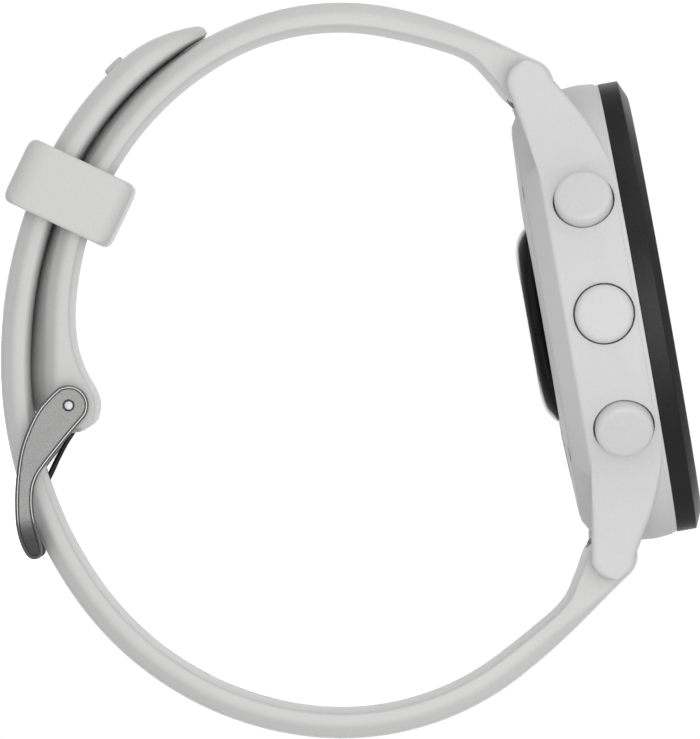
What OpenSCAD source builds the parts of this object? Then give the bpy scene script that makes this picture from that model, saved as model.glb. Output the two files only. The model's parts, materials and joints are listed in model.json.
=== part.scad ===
// GPS running watch: a round case with five push buttons, an optical sensor on the wrist side
// and a silicone band on quick-release spring bars, buckled shut.
// Frame: X points to 3 o'clock, Y to 12 o'clock and Z out of the display. The origin is on the
// case axis, at the flat face of the sensor window that rests on the wrist. Millimetres.

/* [Case] */
// Outer radius of the bezel ring
bezel_r = 21.5; // [19:0.1:24]
// Outer radius of the case barrel at its widest
barrel_r = 21.8; // [19.5:0.1:24.5]
// Height of the bezel's front face above the sensor window
front_z = 13.1; // [12:0.1:16]
// Height of the back cover's flat face above the sensor window
back_z = 1.35; // [0.6:0.05:2]
// Radius of the glass lens
lens_r = 17.45; // [14:0.05:18.5]
// Radius of the sealed space inside the case
cavity_r = 18.7; // [17:0.1:19.2]
// Radius of the hole in the flange that carries the back cover
flange_hole_r = 15.4; // [14:0.1:15.8]

/* [Lugs and spring bars] */
// Distance of each spring bar from the case axis
bar_y = 22.65; // [21:0.05:25]
// Height of the spring bars above the sensor window
bar_z = 4.0; // [3:0.05:6]
// Gap between the inner faces of a pair of lugs
lug_gap = 20.3; // [18:0.1:24.3]
// Radius of the rounded lug end
lug_end_r = 2.15; // [1.5:0.05:3]
// Radius of the spring bar's tube
bar_r = 0.75; // [0.6:0.05:1]
// Radius of the spring bar's thin tips
bar_tip_r = 0.42; // [0.3:0.01:0.6]
// Stroke of the quick-release pin
release_travel = 1.25; // [1:0.05:1.6]

/* [Buttons] */
// Height of the button axes above the sensor window
button_z = 7.05; // [6:0.05:8.5]
// Radius of a button cap
cap_r = 2.75; // [2:0.05:3]
// Radius of the well that a cap sinks into
well_r = 2.93; // [2.1:0.01:3.3]
// Distance of a cap's outer face from the case axis
cap_out = 22.85; // [22:0.05:24]
// Stroke of a button
button_travel = 0.5; // [0.3:0.05:0.8]
// Radius of a button's stem
stem_r = 0.95; // [0.7:0.01:1.1]

/* [Band] */
// Width of the band
band_w = 20; // [18:1:24]
// Thickness of the band
band_t = 3.0; // [2.2:0.1:3.6]
// Slope of the band where it leaves the lug, below horizontal
band_drop = 54.4; // [30:0.1:80]
// Spacing of the adjustment holes
hole_pitch = 7.2; // [6.8:0.1:8]
// Length of an adjustment hole along the band
hole_l = 5.2; // [4.6:0.1:5.2]
// Width of an adjustment hole
hole_w = 2.6; // [2:0.1:3.2]
// Distance of the first adjustment hole from the spring bar, along the band
first_hole = 40.4; // [40.2:0.1:40.6]
// Number of adjustment holes
hole_count = 10; // [6:1:10]

/* [Keeper and buckle] */
// Thickness of the keeper loop, measured out from the wrist
keeper_h = 11.0; // [9:0.1:12]
// Length of the keeper along the band
keeper_l = 6.5; // [4:0.1:9]
// Clear height inside the keeper
keeper_gap = 7.6; // [6.8:0.1:8.4]
// Overall width of the keeper
keeper_w = 23.8; // [22:0.1:26]
// Overall width of the buckle
buckle_w = 23.8; // [22:0.1:26]
// Distance of the buckle pin below the 3 to 9 o'clock line is negative when it is above
pin_y = 0.36; // [-2:0.01:2]
// Depth of the buckle pin below the sensor window
pin_z = -43.99; // [-50:0.01:-38]
// Radius of the buckle pin
pin_r = 0.5; // [0.4:0.05:0.8]

/* [Hidden] */
// Smoothness of the spun and curved pieces
$fn = 96;
// Steps along each arc of the band
band_steps = 10;
// Arcs of the buckle half, from the spring bar to the pin: length, then bend towards the wrist
short_arcs = [[4.5, 0], [10, 13.8], [17.1, 42.3], [18.6, 35.6], [20.3, 38.6]];
// Arcs of the tail half, from the spring bar to its tip: length, then bend towards the wrist
long_arcs = [[5.5, 0], [8.4, 7.2], [20, 44.2], [25.3, 48.6], [20.7, 32], [19.9, 27.2], [20.6, 37]];
// Band lines start just inside the bored root, so that the root wraps them
band_start = [bar_y + 0.73, bar_z + 0.52, -band_drop, 0];
// Radius of the bored root of each band half
root_r = 2.45;
// Radius of the eye at the pin end of the buckle half
eye_r = 2.5;
// Height of the case's top face, under the bezel
case_top = front_z - 2.6;
// Height of the ledge inside the case that the bezel's skirt stands on
bezel_seat = front_z - 3.4;
// Height of the flange's wrist-side face, where the back cover seats
flange_z = back_z + 1.25;
// Height of the flange's inner face
flange_top = flange_z + 1.4;
// Angles of the five buttons round the case: light, up, down, start, back
button_angles = [150, 180, 210, 30, -30];
// Angles of the four back screws
screw_angles = [45, 135, 225, 315];
// Radius of the circle of back screws
screw_ring = 17.4;
// Angles of the three screws that hold the inner frame
frame_angles = [90, 245, 295];
// Middle of the arc that the keeper slides along
keeper_axis = [-0.95, -10.85];
// Distance of the keeper from that middle
keeper_arc = 36.3;
// Angle of the keeper above the direction that points straight away from the display
keeper_angle = 35.4;

// Moves a point with a heading and a run length along one arc
function follow(p, a) = abs(a[1]) < 0.01
  ? [p[0] + a[0] * cos(p[2]), p[1] + a[0] * sin(p[2]), p[2], p[3] + a[0]]
  : let (r = a[0] * 180 / (PI * a[1]))
    [p[0] + r * (sin(p[2]) - sin(p[2] - a[1])), p[1] + r * (cos(p[2] - a[1]) - cos(p[2])),
     p[2] - a[1], p[3] + a[0]];

// Points along a chain of arcs
function stations(p, arcs, i = 0) = i >= len(arcs) ? [p]
  : concat([for (j = [0:band_steps - 1]) follow(p, arcs[i] * j / band_steps)],
           stations(follow(p, arcs[i]), arcs, i + 1));

// Total length of a chain of arcs
function total(arcs, i = 0) = i >= len(arcs) ? 0 : arcs[i][0] + total(arcs, i + 1);

// Point on a chain of arcs at a given run length
function point_at(p, arcs, s, i = 0) = i >= len(arcs) - 1 || s <= arcs[i][0]
  ? follow(p, arcs[i] * s / arcs[i][0])
  : point_at(follow(p, arcs[i]), arcs, s - arcs[i][0], i + 1);

// Cross-section of the band, as across and outwards: shallow crowns, bevels and upright sides
function section(w, t) = [
  [-w / 2 + 0.5, -t / 2 + 0.12], [0, -t / 2], [w / 2 - 0.5, -t / 2 + 0.12],
  [w / 2, -t / 2 + 0.45], [w / 2, t / 2 - 1.25], [w / 2 - 1.5, t / 2 - 0.25],
  [0, t / 2], [-w / 2 + 1.5, t / 2 - 0.25], [-w / 2, t / 2 - 1.25], [-w / 2, -t / 2 + 0.45]];

// Corner of the band's cross-section placed at a station
function placed(p, c) = [c[0], p[0] - c[1] * sin(p[2]), p[1] + c[1] * cos(p[2])];

// Draws its 2D child, laid out as Y and Z, from one X to another
module across(x0, x1) {
  translate([x0, 0, 0])
    rotate([90, 0, 90])
      linear_extrude(height = x1 - x0)
        children();
}

// A bar along X
module bar(x0, x1, r, y, z) {
  translate([x0, y, z])
    rotate([0, 90, 0])
      cylinder(h = x1 - x0, r = r);
}

// A ring or disc about the case axis
module disc(z0, z1, r, hole = 0) {
  difference() {
    translate([0, 0, z0])
      cylinder(h = z1 - z0, r = r);
    if (hole > 0)
      translate([0, 0, z0 - 1])
        cylinder(h = z1 - z0 + 2, r = hole);
  }
}

// A box given by its centre in plan and its two heights
module slab(x, y, w, l, z0, z1) {
  translate([x - w / 2, y - l / 2, z0])
    cube([w, l, z1 - z0]);
}

// Places its child so that its Z axis points outwards along a button's axis
module on_button(a) {
  rotate([0, 0, a])
    translate([0, 0, button_z])
      rotate([0, 90, 0])
        children();
}

// Places its child upright at a point of a polar layout
module on_ring(a, r, z) {
  rotate([0, 0, a])
    translate([r, 0, z])
      children();
}

// Places its child on a band line with its Z axis pointing outwards and its Y axis along the band
module on_band(arcs, s) {
  p = point_at(band_start, arcs, s);
  translate([0, p[0], p[1]])
    rotate([p[2], 0, 0])
      children();
}

// Strip of band along a chain of arcs, given a width and a thickness for each station
module strip(pts, widths, thicks) {
  m = len(section(1, 1));
  n = len(pts);
  polyhedron(
    points = [for (i = [0:n - 1]) for (c = section(widths[i], thicks[i])) placed(pts[i], c)],
    faces = concat(
      [for (i = [0:n - 2]) for (j = [0:m - 1])
        let (k = (j + 1) % m) [i * m + j, (i + 1) * m + k, (i + 1) * m + j]],
      [for (i = [0:n - 2]) for (j = [0:m - 1])
        let (k = (j + 1) % m) [i * m + j, i * m + k, (i + 1) * m + k]],
      [[for (j = [0:m - 1]) m - 1 - j], [for (j = [0:m - 1]) (n - 1) * m + j]]));
}

// Outline of a lug seen along X, as Y and Z
module lug_side() {
  polygon([[10, 10.5], [12.5, 10.4], [14.5, 10], [15.5, 9.75], [17, 9.3], [18.5, 8.7], [20, 7.8],
    [21.2, 7.1], [22.4, 6.45], [bar_y + 1, bar_z + 1.9], [bar_y, bar_z], [bar_y, bar_z - lug_end_r],
    [21, 2.25], [20, 2.45], [18, 2.75], [16, 3.05], [14, 3.3], [10, 3.4]]);
  translate([bar_y, bar_z])
    circle(r = lug_end_r);
}

// Plan of a lug: its inner face is straight and its outer face sweeps in from the barrel
module lug_plan() {
  polygon([[lug_gap / 2, 11], [18.4, 11], [17.45, 12.8], [17, 13.4], [16.4, 14.3], [15.8, 15.35],
    [15.2, 16.7], [14.75, 17.9], [14.3, 19.4], [13.9, 21.05], [13.5, 23], [13.2, 24.8], [13.1, 26],
    [lug_gap / 2, 26]]);
}

// One pair of lugs at 12 o'clock
module lug_pair() {
  for (s = [0, 1])
    mirror([s, 0, 0])
      intersection() {
        across(lug_gap / 2, 19)
          lug_side();
        linear_extrude(height = 12)
          lug_plan();
      }
}

module case() {
  color("lightgray")
    difference() {
      union() {
        rotate_extrude()
          polygon([[0, back_z + 0.4], [18.9, back_z + 0.4], [21.5, 3.3], [21.65, 3.5],
            [21.65, 7.1], [barrel_r, 8.4], [21.55, case_top - 0.15], [21.4, case_top],
            [0, case_top]]);
        lug_pair();
        mirror([0, 1, 0])
          lug_pair();
      }
      // Sealed space, with the seat for the bezel above and the seat for the back cover below
      disc(flange_top, front_z, cavity_r);
      disc(bezel_seat, front_z, cavity_r + 1.2);
      disc(0, flange_top + 1, flange_hole_r);
      disc(0, flange_z, cavity_r + 0.05);
      disc(flange_z - 0.1, flange_z + 0.5, 16.45, 15.75);
      // Room for the band roots between the lugs, and the blind holes for the bar tips
      for (s = [-1, 1]) {
        bar(-lug_gap / 2, lug_gap / 2, 3.2, s * bar_y, bar_z);
        bar(-lug_gap / 2 - 1.25, lug_gap / 2 + 1.25, bar_tip_r + 0.06, s * bar_y, bar_z);
      }
      for (a = button_angles)
        on_button(a) {
          translate([0, 0, 20.3])
            cylinder(h = 4, r = well_r);
          translate([0, 0, 17])
            cylinder(h = 5, r = stem_r + 0.5);
        }
      for (a = screw_angles)
        on_ring(a, screw_ring, flange_z - 1)
          cylinder(h = 2.2, r = 0.45);
      for (a = frame_angles)
        on_ring(a, 17.3, flange_top - 0.9)
          cylinder(h = 2, r = 0.4);
    }
}

module bezel() {
  color("dimgray")
    rotate_extrude()
      polygon([[bezel_r, case_top + 0.15], [bezel_r, front_z - 0.75], [19.9, front_z - 0.05],
        [19.6, front_z], [lens_r + 0.35, front_z], [lens_r + 0.1, front_z - 0.25],
        [lens_r + 0.1, front_z - 1.5], [16.2, front_z - 1.5], [16.2, front_z - 2.1],
        [18, front_z - 2.1], [18, bezel_seat], [cavity_r + 1.1, bezel_seat],
        [cavity_r + 1.1, case_top + 0.15]]);
}

module lens() {
  color("lightblue")
    rotate_extrude()
      polygon([[0, front_z - 1.38], [lens_r, front_z - 1.38], [lens_r, front_z - 0.35],
        [lens_r - 0.25, front_z - 0.1], [0, front_z - 0.1]]);
}

module lens_adhesive() {
  color("black")
    disc(front_z - 1.5, front_z - 1.38, lens_r - 0.05, 16.35);
}

module display_panel() {
  color("darkslategray")
    disc(front_z - 2.75, front_z - 1.38, 15.9);
}

module display_flex() {
  color("orange") {
    slab(0, -13.6, 7, 2.6, 10.2, 10.35);
    slab(0, -14.8, 7, 0.2, 8.7, 10.35);
    slab(0, -13.4, 7, 3, 8.7, 8.85);
  }
}

module back_seal() {
  color("black")
    translate([0, 0, flange_z + 0.25])
      rotate_extrude()
        translate([16.1, 0])
          circle(r = 0.25);
}

module back_cover() {
  color("silver")
    difference() {
      rotate_extrude()
        polygon([[7.9, back_z], [12, back_z], [18.4, back_z + 0.32], [cavity_r, back_z + 0.45],
          [cavity_r, flange_z], [7.9, flange_z]]);
      disc(0, 1.9, 9.45);
      slab(0, -12.4, 9.2, 4.4, 0, 4);
      for (x = [-10.4, -9.4, -8.4])
        translate([x, -7.6, 0])
          cylinder(h = 4, r = 0.25);
      for (a = screw_angles)
        on_ring(a, screw_ring, 0) {
          cylinder(h = 2.1, r = 0.9);
          cylinder(h = 4, r = 0.5);
        }
    }
}

module back_screws() {
  color("dimgray")
    for (a = screw_angles)
      on_ring(a, screw_ring, 0)
        difference() {
          union() {
            translate([0, 0, 1.62])
              cylinder(h = 0.48, r = 0.8);
            translate([0, 0, 2.1])
              cylinder(h = 1.6, r = 0.44);
          }
          cylinder(h = 1.85, r = 0.4, $fn = 6);
        }
}

module sensor_window() {
  color("black")
    rotate_extrude()
      polygon([[0, 0], [7, 0], [7.6, 0.07], [8.2, 0.28], [8.8, 0.66], [9.2, 1.05], [9.4, back_z],
        [9.4, 1.9], [7.2, 1.9], [7.2, 0.8], [0, 0.8]]);
}

module sensor_board() {
  color("darkgreen")
    difference() {
      disc(1.9, 2.5, 7.8);
      slab(0, 0, 5, 0.8, 1, 3);
    }
}

module sensor_leds() {
  color("lime")
    for (a = [0, 90, 180, 270])
      on_ring(a, 2.6, 1.1)
        slab(0, 0, 1.2, 1.6, 0, 0.8);
}

module sensor_photodiodes() {
  color("navy")
    for (a = [45, 135, 225, 315])
      on_ring(a, 5.1, 1.2)
        slab(0, 0, 1.8, 2.6, 0, 0.7);
}

module charging_insert() {
  color("black")
    difference() {
      slab(0, -12.4, 9, 4.2, 1.6, 2.8);
      slab(0, -12.4, 8, 3.2, 1, 2.1);
      for (x = [-2.85, -0.95, 0.95, 2.85])
        translate([x, -12.4, 0])
          cylinder(h = 4, r = 0.45);
    }
}

module charging_contacts() {
  color("gold")
    for (x = [-2.85, -0.95, 0.95, 2.85])
      translate([x, -12.4, 1.8])
        cylinder(h = 1.05, r = 0.45);
}

module inner_frame() {
  color("gray")
    difference() {
      union() {
        disc(flange_top, 9.9, 16.1, 15.6);
        disc(9.4, 9.9, 17.6, 15.6);
        disc(7.3, 7.9, 15.7);
        intersection() {
          disc(5.8, 7.6, 15.7);
          slab(-12, 0, 10.6, 40, 5, 8);
        }
        for (a = frame_angles)
          rotate([0, 0, a])
            slab(16.9, 0, 2.4, 3, flange_top, flange_top + 0.6);
      }
      for (a = frame_angles)
        on_ring(a, 17.3, flange_top - 1)
          cylinder(h = 3, r = 0.5);
      slab(9, 0, 3, 6, 7, 8);
    }
}

module frame_screws() {
  color("dimgray")
    for (a = frame_angles)
      on_ring(a, 17.3, 0)
        difference() {
          union() {
            translate([0, 0, flange_top + 0.6])
              cylinder(h = 0.6, r = 0.75);
            translate([0, 0, flange_top - 0.85])
              cylinder(h = 1.5, r = 0.39);
          }
          translate([0, 0, flange_top + 0.9])
            cylinder(h = 1, r = 0.35, $fn = 6);
        }
}

module battery() {
  color("silver")
    intersection() {
      disc(2.9, 6.9, 15.1);
      slab(4.4, 0, 21.6, 40, 2, 8);
    }
}

module battery_pad() {
  color("darkgray")
    slab(4, 0, 16, 20, 6.9, 7.3);
}

module main_board() {
  color("darkgreen")
    difference() {
      disc(7.9, 8.7, 15.2);
      slab(9, 0, 2.6, 5, 7, 9);
    }
}

module shield_cans() {
  color("silver") {
    slab(-5, 4, 10, 9, 8.7, 9.8);
    slab(3, -6.2, 12, 8, 8.7, 9.8);
  }
}

module gps_antenna() {
  color("goldenrod")
    difference() {
      disc(9.9, 10.3, 17.5, 16.3);
      slab(0, -17, 8, 4, 9, 11);
    }
}

module beeper() {
  color("darkgray")
    translate([-9.6, 7.5, 3.4])
      difference() {
        cylinder(h = 2.4, r = 2.8);
        translate([0, 0, -1])
          cylinder(h = 1.4, r = 0.6);
      }
}

module motor_can() {
  color("silver")
    translate([-10.9, 0, 3]) {
      difference() {
        cylinder(h = 2.8, r = 4);
        translate([0, 0, 0.25])
          cylinder(h = 2.3, r = 3.75);
      }
      cylinder(h = 2.7, r = 0.4);
    }
}

module motor_rotor() {
  color("dimgray")
    translate([-10.9, 0, 3.5])
      difference() {
        union() {
          cylinder(h = 1.7, r = 1);
          intersection() {
            cylinder(h = 1.5, r = 3.55);
            translate([-4, 0, -1])
              cube([8, 4, 4]);
          }
        }
        translate([0, 0, -1])
          cylinder(h = 4, r = 0.45);
      }
}

module pressure_sensor() {
  color("silver")
    slab(-9.4, -7.6, 2.8, 2.6, flange_z, flange_z + 1.1);
}

// Curved strip with a flat pad behind each switch
module button_flex(angles) {
  intersection() {
    union() {
      disc(5.4, 8.7, 16.25, 16.1);
      for (a = angles)
        rotate([0, 0, a])
          slab(16.2, 0, 0.2, 3.2, 5.7, 8.4);
    }
    union()
      for (a = angles)
        rotate([0, 0, a])
          slab(16, 0, 4, 9, 5, 9);
  }
}

module left_button_flex() {
  color("orange")
    button_flex([150, 180, 210]);
}

module right_button_flex() {
  color("orange") {
    button_flex([30, -30]);
    intersection() {
      disc(5.4, 6.6, 16.25, 16.1);
      slab(16, 0, 6, 14, 5, 9);
    }
  }
}

module button_switches() {
  color("dimgray")
    for (a = button_angles)
      rotate([0, 0, a]) {
        slab(16.65, 0, 0.7, 2.8, button_z - 1.2, button_z + 1.2);
        translate([17, 0, button_z])
          rotate([0, 90, 0])
            cylinder(h = 0.2, r = 0.8);
      }
}

// Pressed-in bearing sleeves for the button stems
module button_sleeves() {
  color("silver")
    for (a = button_angles)
      on_button(a)
        translate([0, 0, 18.35])
          difference() {
            cylinder(h = 1.95, r = stem_r + 0.5);
            translate([0, 0, -1])
              cylinder(h = 4, r = stem_r + 0.05);
          }
}

// Cap and stem of a button, turned from one piece
module push_button(a) {
  color("lightgray")
    on_button(a)
      rotate_extrude()
        polygon([[0, 17.75], [stem_r - 0.15, 17.75], [stem_r, 17.85], [stem_r, 18.02], [0.68, 18.02],
          [0.68, 18.34], [stem_r, 18.34], [stem_r, 19.1], [0.6, 19.1], [0.6, 19.6], [stem_r, 19.6],
          [stem_r, 20.9], [cap_r, 20.9], [cap_r, cap_out - 0.55], [cap_r - 0.12, cap_out - 0.3],
          [cap_r - 0.4, cap_out - 0.13], [1.6, cap_out - 0.05], [0, cap_out]]);
}

// Sealing ring in a button stem's groove
module push_seal(a) {
  color("black")
    on_button(a)
      translate([0, 0, 19.35])
        rotate_extrude()
          translate([0.79, 0])
            circle(r = 0.18);
}

// Spring clip that keeps a button in its sleeve
module push_clip(a) {
  color("silver")
    on_button(a)
      translate([0, 0, 18.04])
        difference() {
          cylinder(h = 0.28, r = 1.4);
          translate([0, 0, -1])
            cylinder(h = 3, r = 0.7);
          translate([0, -0.4, -1])
            cube([3, 0.8, 3]);
        }
}

module light_button() { push_button(button_angles[0]); }
module light_seal() { push_seal(button_angles[0]); }
module light_clip() { push_clip(button_angles[0]); }
module up_button() { push_button(button_angles[1]); }
module up_seal() { push_seal(button_angles[1]); }
module up_clip() { push_clip(button_angles[1]); }
module down_button() { push_button(button_angles[2]); }
module down_seal() { push_seal(button_angles[2]); }
module down_clip() { push_clip(button_angles[2]); }
module start_button() { push_button(button_angles[3]); }
module start_seal() { push_seal(button_angles[3]); }
module start_clip() { push_clip(button_angles[3]); }
module back_button() { push_button(button_angles[4]); }
module back_seal_ring() { push_seal(button_angles[4]); }
module back_clip() { push_clip(button_angles[4]); }

// Bored root of a band half, with its slot for the release knob on the wrist side
module band_root() {
  bar(-9.95, 9.95, root_r, bar_y, bar_z);
}

module root_cuts() {
  bar(-12, 12, bar_r + 0.03, bar_y, bar_z);
  translate([-6.5, bar_y, bar_z])
    rotate([135, 0, 0])
      translate([0, -0.75, 0])
        cube([3.4, 1.5, 4]);
}

module upper_strap() {
  pts = stations(band_start, short_arcs);
  run = total(short_arcs);
  thicks = [for (p = pts) band_t + 0.85 * max(0, 1 - (run - p[3]) / 12)];
  color("gainsboro")
    difference() {
      union() {
        strip(pts, [for (p = pts) band_w], thicks);
        band_root();
        bar(-9.95, 9.95, eye_r, pin_y, pin_z);
      }
      root_cuts();
      bar(-12, 12, pin_r + 0.06, pin_y, pin_z);
      // Notch for the tang's eye
      translate([-1.5, pin_y - 8, pin_z - 5])
        cube([3, 10.4, 9]);
    }
}

module lower_strap() {
  pts = stations(band_start, long_arcs);
  run = total(long_arcs);
  widths = [for (p = pts) band_w * sqrt(1 - pow(max(0, 1 - (run - p[3]) / 8), 2) * 0.88)];
  thicks = [for (p = pts) band_t - 1.3 * max(0, 1 - (run - p[3]) / 5)];
  color("gainsboro")
    mirror([0, 1, 0])
      difference() {
        union() {
          strip(pts, widths, thicks);
          band_root();
          // Raised grip near the tip
          on_band(long_arcs, run - 8.4)
            translate([-5, -1, 0])
              cube([10, 2, band_t / 2 + 0.3]);
        }
        root_cuts();
        for (i = [0:hole_count - 1])
          on_band(long_arcs, first_hole + i * hole_pitch)
            translate([0, 0, -4]) {
              translate([-hole_w / 2, -(hole_l - hole_w) / 2, 0])
                cube([hole_w, hole_l - hole_w, 8]);
              for (s = [-1, 1])
                translate([0, s * (hole_l - hole_w) / 2, 0])
                  cylinder(h = 8, r = hole_w / 2);
            }
      }
}

// Rounded rectangle for the keeper, in its own plane
module keeper_plan(w, h, r) {
  square([w - 2 * r, h], center = true);
  square([w, h - 2 * r], center = true);
  for (x = [-1, 1], y = [-1, 1])
    translate([x * (w / 2 - r), y * (h / 2 - r)])
      circle(r = r);
}

module keeper_loop() {
  color("gainsboro")
    translate([0, keeper_axis[0], keeper_axis[1]])
      rotate([keeper_angle - 90, 0, 0])
        translate([0, keeper_arc, 0])
          difference() {
            translate([0, 0, -keeper_l / 2])
              linear_extrude(height = keeper_l)
                keeper_plan(keeper_w, keeper_h, 1.4);
            translate([0, 0, -keeper_l])
              linear_extrude(height = 2 * keeper_l)
                keeper_plan(20.7, keeper_gap, 0.5);
          }
}

// Side arm of the buckle seen along X, as Y and Z
module arm_side() {
  polygon([[1.3, -45.4], [0.5, -47], [-1.2, -48.2], [-3, -49.2], [-5, -49.9], [-7, -50.4],
    [-9, -50.75], [-10.3, -50.85], [-11.5, -50.75], [-13.1, -50.2], [-13.35, -49.8],
    [-13.15, -48.9], [-12.3, -48.75], [-9.5, -49], [-8, -48.85], [-6.6, -48.5], [-5.6, -47.9],
    [-4.7, -47], [-3.8, -46], [-2.5, -44.5], [-1.2, -43.2], [0, pin_z]]);
  translate([pin_y, pin_z])
    circle(r = 1.9);
}

// End bar of the buckle seen along X, outside the band
module end_bar_side() {
  polygon([[-10, -50.82], [-11.5, -50.75], [-13.1, -50.2], [-13.3, -49.75], [-12.4, -49.35],
    [-10.4, -49.75], [-9.7, -50.2]]);
}

module buckle_frame() {
  color("darkgray")
    difference() {
      union() {
        for (s = [0, 1])
          mirror([s, 0, 0])
            across(10.35, buckle_w / 2)
              arm_side();
        across(-buckle_w / 2, buckle_w / 2)
          end_bar_side();
      }
      bar(-13, 13, pin_r + 0.01, pin_y, pin_z);
      // Notch that the tang rests in
      translate([-1.2, -12.6, -51.6])
        cube([2.4, 4, 1.58]);
    }
}

module buckle_pin() {
  color("silver")
    bar(-buckle_w / 2, buckle_w / 2, pin_r, pin_y, pin_z);
}

module buckle_tang() {
  color("dimgray")
    difference() {
      union() {
        across(-1, 1)
          polygon([[pin_y, pin_z + 1.2], [-2.2, -43.7], [-4.3, -45.2], [-6.56, -46.34],
            [-9.26, -49.29], [-10, -50.1], [-12.2, -50.1], [-12.3, -50.4], [-12, -50.75],
            [-9.6, -50.85], [-8.6, -49.9], [-5.9, -46.95], [-3.8, -46.1], [-1.6, -44.9],
            [pin_y - 0.6, pin_z - 1]]);
        bar(-1, 1, 1.25, pin_y, pin_z);
      }
      bar(-2, 2, pin_r + 0.06, pin_y, pin_z);
    }
}

// Tube of a quick-release spring bar, with its fixed tip at the 3 o'clock end
module bar_tube() {
  color("silver")
    difference() {
      union() {
        bar(-9.9, 9.9, bar_r, bar_y, bar_z);
        bar(9.8, 11.15, bar_tip_r, bar_y, bar_z);
      }
      bar(-12, -1.2, 0.5, bar_y, bar_z);
      translate([-6.2, bar_y, bar_z])
        rotate([135, 0, 0])
          translate([0, -0.5, 0])
            cube([2.7, 1, 4]);
    }
}

// Sliding pin of a quick-release spring bar, with the knob that draws it back
module release_pin() {
  color("silver") {
    bar(-11.2, -9.6, bar_tip_r, bar_y, bar_z);
    bar(-9.7, -3.2, 0.46, bar_y, bar_z);
    translate([-5.5, bar_y, bar_z])
      rotate([135, 0, 0]) {
        cylinder(h = 3, r = 0.4);
        translate([0, 0, 2.55])
          cylinder(h = 0.65, r = 0.65);
      }
  }
}

module upper_bar_tube() { bar_tube(); }
module upper_release_pin() { release_pin(); }
module lower_bar_tube() { mirror([0, 1, 0]) bar_tube(); }
module lower_release_pin() { mirror([0, 1, 0]) release_pin(); }

case();
bezel();
lens();
lens_adhesive();
display_panel();
display_flex();
back_seal();
back_cover();
back_screws();
sensor_window();
sensor_board();
sensor_leds();
sensor_photodiodes();
charging_insert();
charging_contacts();
inner_frame();
frame_screws();
battery();
battery_pad();
main_board();
shield_cans();
gps_antenna();
beeper();
motor_can();
motor_rotor();
pressure_sensor();
left_button_flex();
right_button_flex();
button_switches();
button_sleeves();
light_button();
light_seal();
light_clip();
up_button();
up_seal();
up_clip();
down_button();
down_seal();
down_clip();
start_button();
start_seal();
start_clip();
back_button();
back_seal_ring();
back_clip();
upper_strap();
lower_strap();
keeper_loop();
buckle_frame();
buckle_pin();
buckle_tang();
upper_bar_tube();
upper_release_pin();
lower_bar_tube();
lower_release_pin();
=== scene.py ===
"""GPS running watch, buckled shut: its visible surfaces, finishes, light and camera.

X points to 3 o'clock, Y to 12 o'clock and Z out of the display. Shapes are worked out in
millimetres as whole numpy grids and go into the meshes in metres.
"""

import functools
import json
import logging
import math
from dataclasses import dataclass, field
from enum import Enum
from typing import Any

import bmesh
import bpy
import numpy as np
from mathutils import Matrix, Vector


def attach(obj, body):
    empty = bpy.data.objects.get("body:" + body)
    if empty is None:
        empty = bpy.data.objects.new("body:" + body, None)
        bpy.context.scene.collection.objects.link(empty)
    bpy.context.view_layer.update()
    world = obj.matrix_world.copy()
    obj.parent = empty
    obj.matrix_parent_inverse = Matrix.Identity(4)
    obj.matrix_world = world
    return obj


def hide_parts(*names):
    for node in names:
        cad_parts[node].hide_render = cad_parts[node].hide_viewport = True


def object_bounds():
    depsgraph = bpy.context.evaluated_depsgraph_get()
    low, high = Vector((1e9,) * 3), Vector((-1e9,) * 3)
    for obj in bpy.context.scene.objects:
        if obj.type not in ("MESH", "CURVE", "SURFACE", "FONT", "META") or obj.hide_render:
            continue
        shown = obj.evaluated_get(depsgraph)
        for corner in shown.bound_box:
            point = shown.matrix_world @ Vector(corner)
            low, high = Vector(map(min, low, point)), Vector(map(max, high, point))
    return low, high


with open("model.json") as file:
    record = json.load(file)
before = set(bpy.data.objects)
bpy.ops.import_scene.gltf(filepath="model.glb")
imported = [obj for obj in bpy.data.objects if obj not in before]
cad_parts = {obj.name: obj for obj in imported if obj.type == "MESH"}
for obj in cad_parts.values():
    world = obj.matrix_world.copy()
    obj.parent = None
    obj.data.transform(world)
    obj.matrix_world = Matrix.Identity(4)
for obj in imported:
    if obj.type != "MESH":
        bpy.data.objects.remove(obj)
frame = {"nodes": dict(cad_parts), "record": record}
cad_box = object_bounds()

MM = 0.001
MERGE = 0.0000015
SLICE = 0.2
BAR = (22.65, 4.0)
KNOB_TILT = 225.0
LOG = logging.getLogger("watch")


class Join(Enum):
    """How one solid is put together with another."""

    CUT = "DIFFERENCE"
    ADD = "UNION"


# ---------------------------------------------------------------- surfaces

@dataclass
class Shell:
    """One grid of points in millimetres, with what closes it.

    Args:
        points: rows by columns by 3.
        wrap_rows: the last row joins the first.
        wrap_cols: the last column joins the first.
        caps: the first and last rows are each closed with one face.
    """

    points: np.ndarray
    wrap_rows: bool = False
    wrap_cols: bool = True
    caps: bool = False

    def faces(self, start: int) -> list[list[int]]:
        """Lists the faces, four neighbours of the grid each.

        Args:
            start: number of the shell's first vertex in its mesh.

        Returns:
            Vertex numbers of every face.
        """
        rows, cols = self.points.shape[:2]
        r = np.arange(rows if self.wrap_rows else rows - 1)[:, None]
        c = np.arange(cols if self.wrap_cols else cols - 1)[None, :]
        r2, c2 = (r + 1) % rows, (c + 1) % cols
        corners = np.broadcast_arrays(r * cols + c, r * cols + c2, r2 * cols + c2, r2 * cols + c)
        found = (np.stack(corners, axis=-1).reshape(-1, 4) + start).tolist()
        if self.caps:
            found.append(list(range(start + cols - 1, start - 1, -1)))
            found.append(list(range(start + (rows - 1) * cols, start + rows * cols)))
        return found

    def mirrored(self, axis: int) -> "Shell":
        """Reflects the shell in the plane through the origin that is square to an axis.

        Args:
            axis: 0, 1 or 2 for X, Y or Z.

        Returns:
            The reflected shell.
        """
        flip = np.ones(3)
        flip[axis] = -1
        return Shell(self.points * flip, self.wrap_rows, self.wrap_cols, self.caps)


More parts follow.
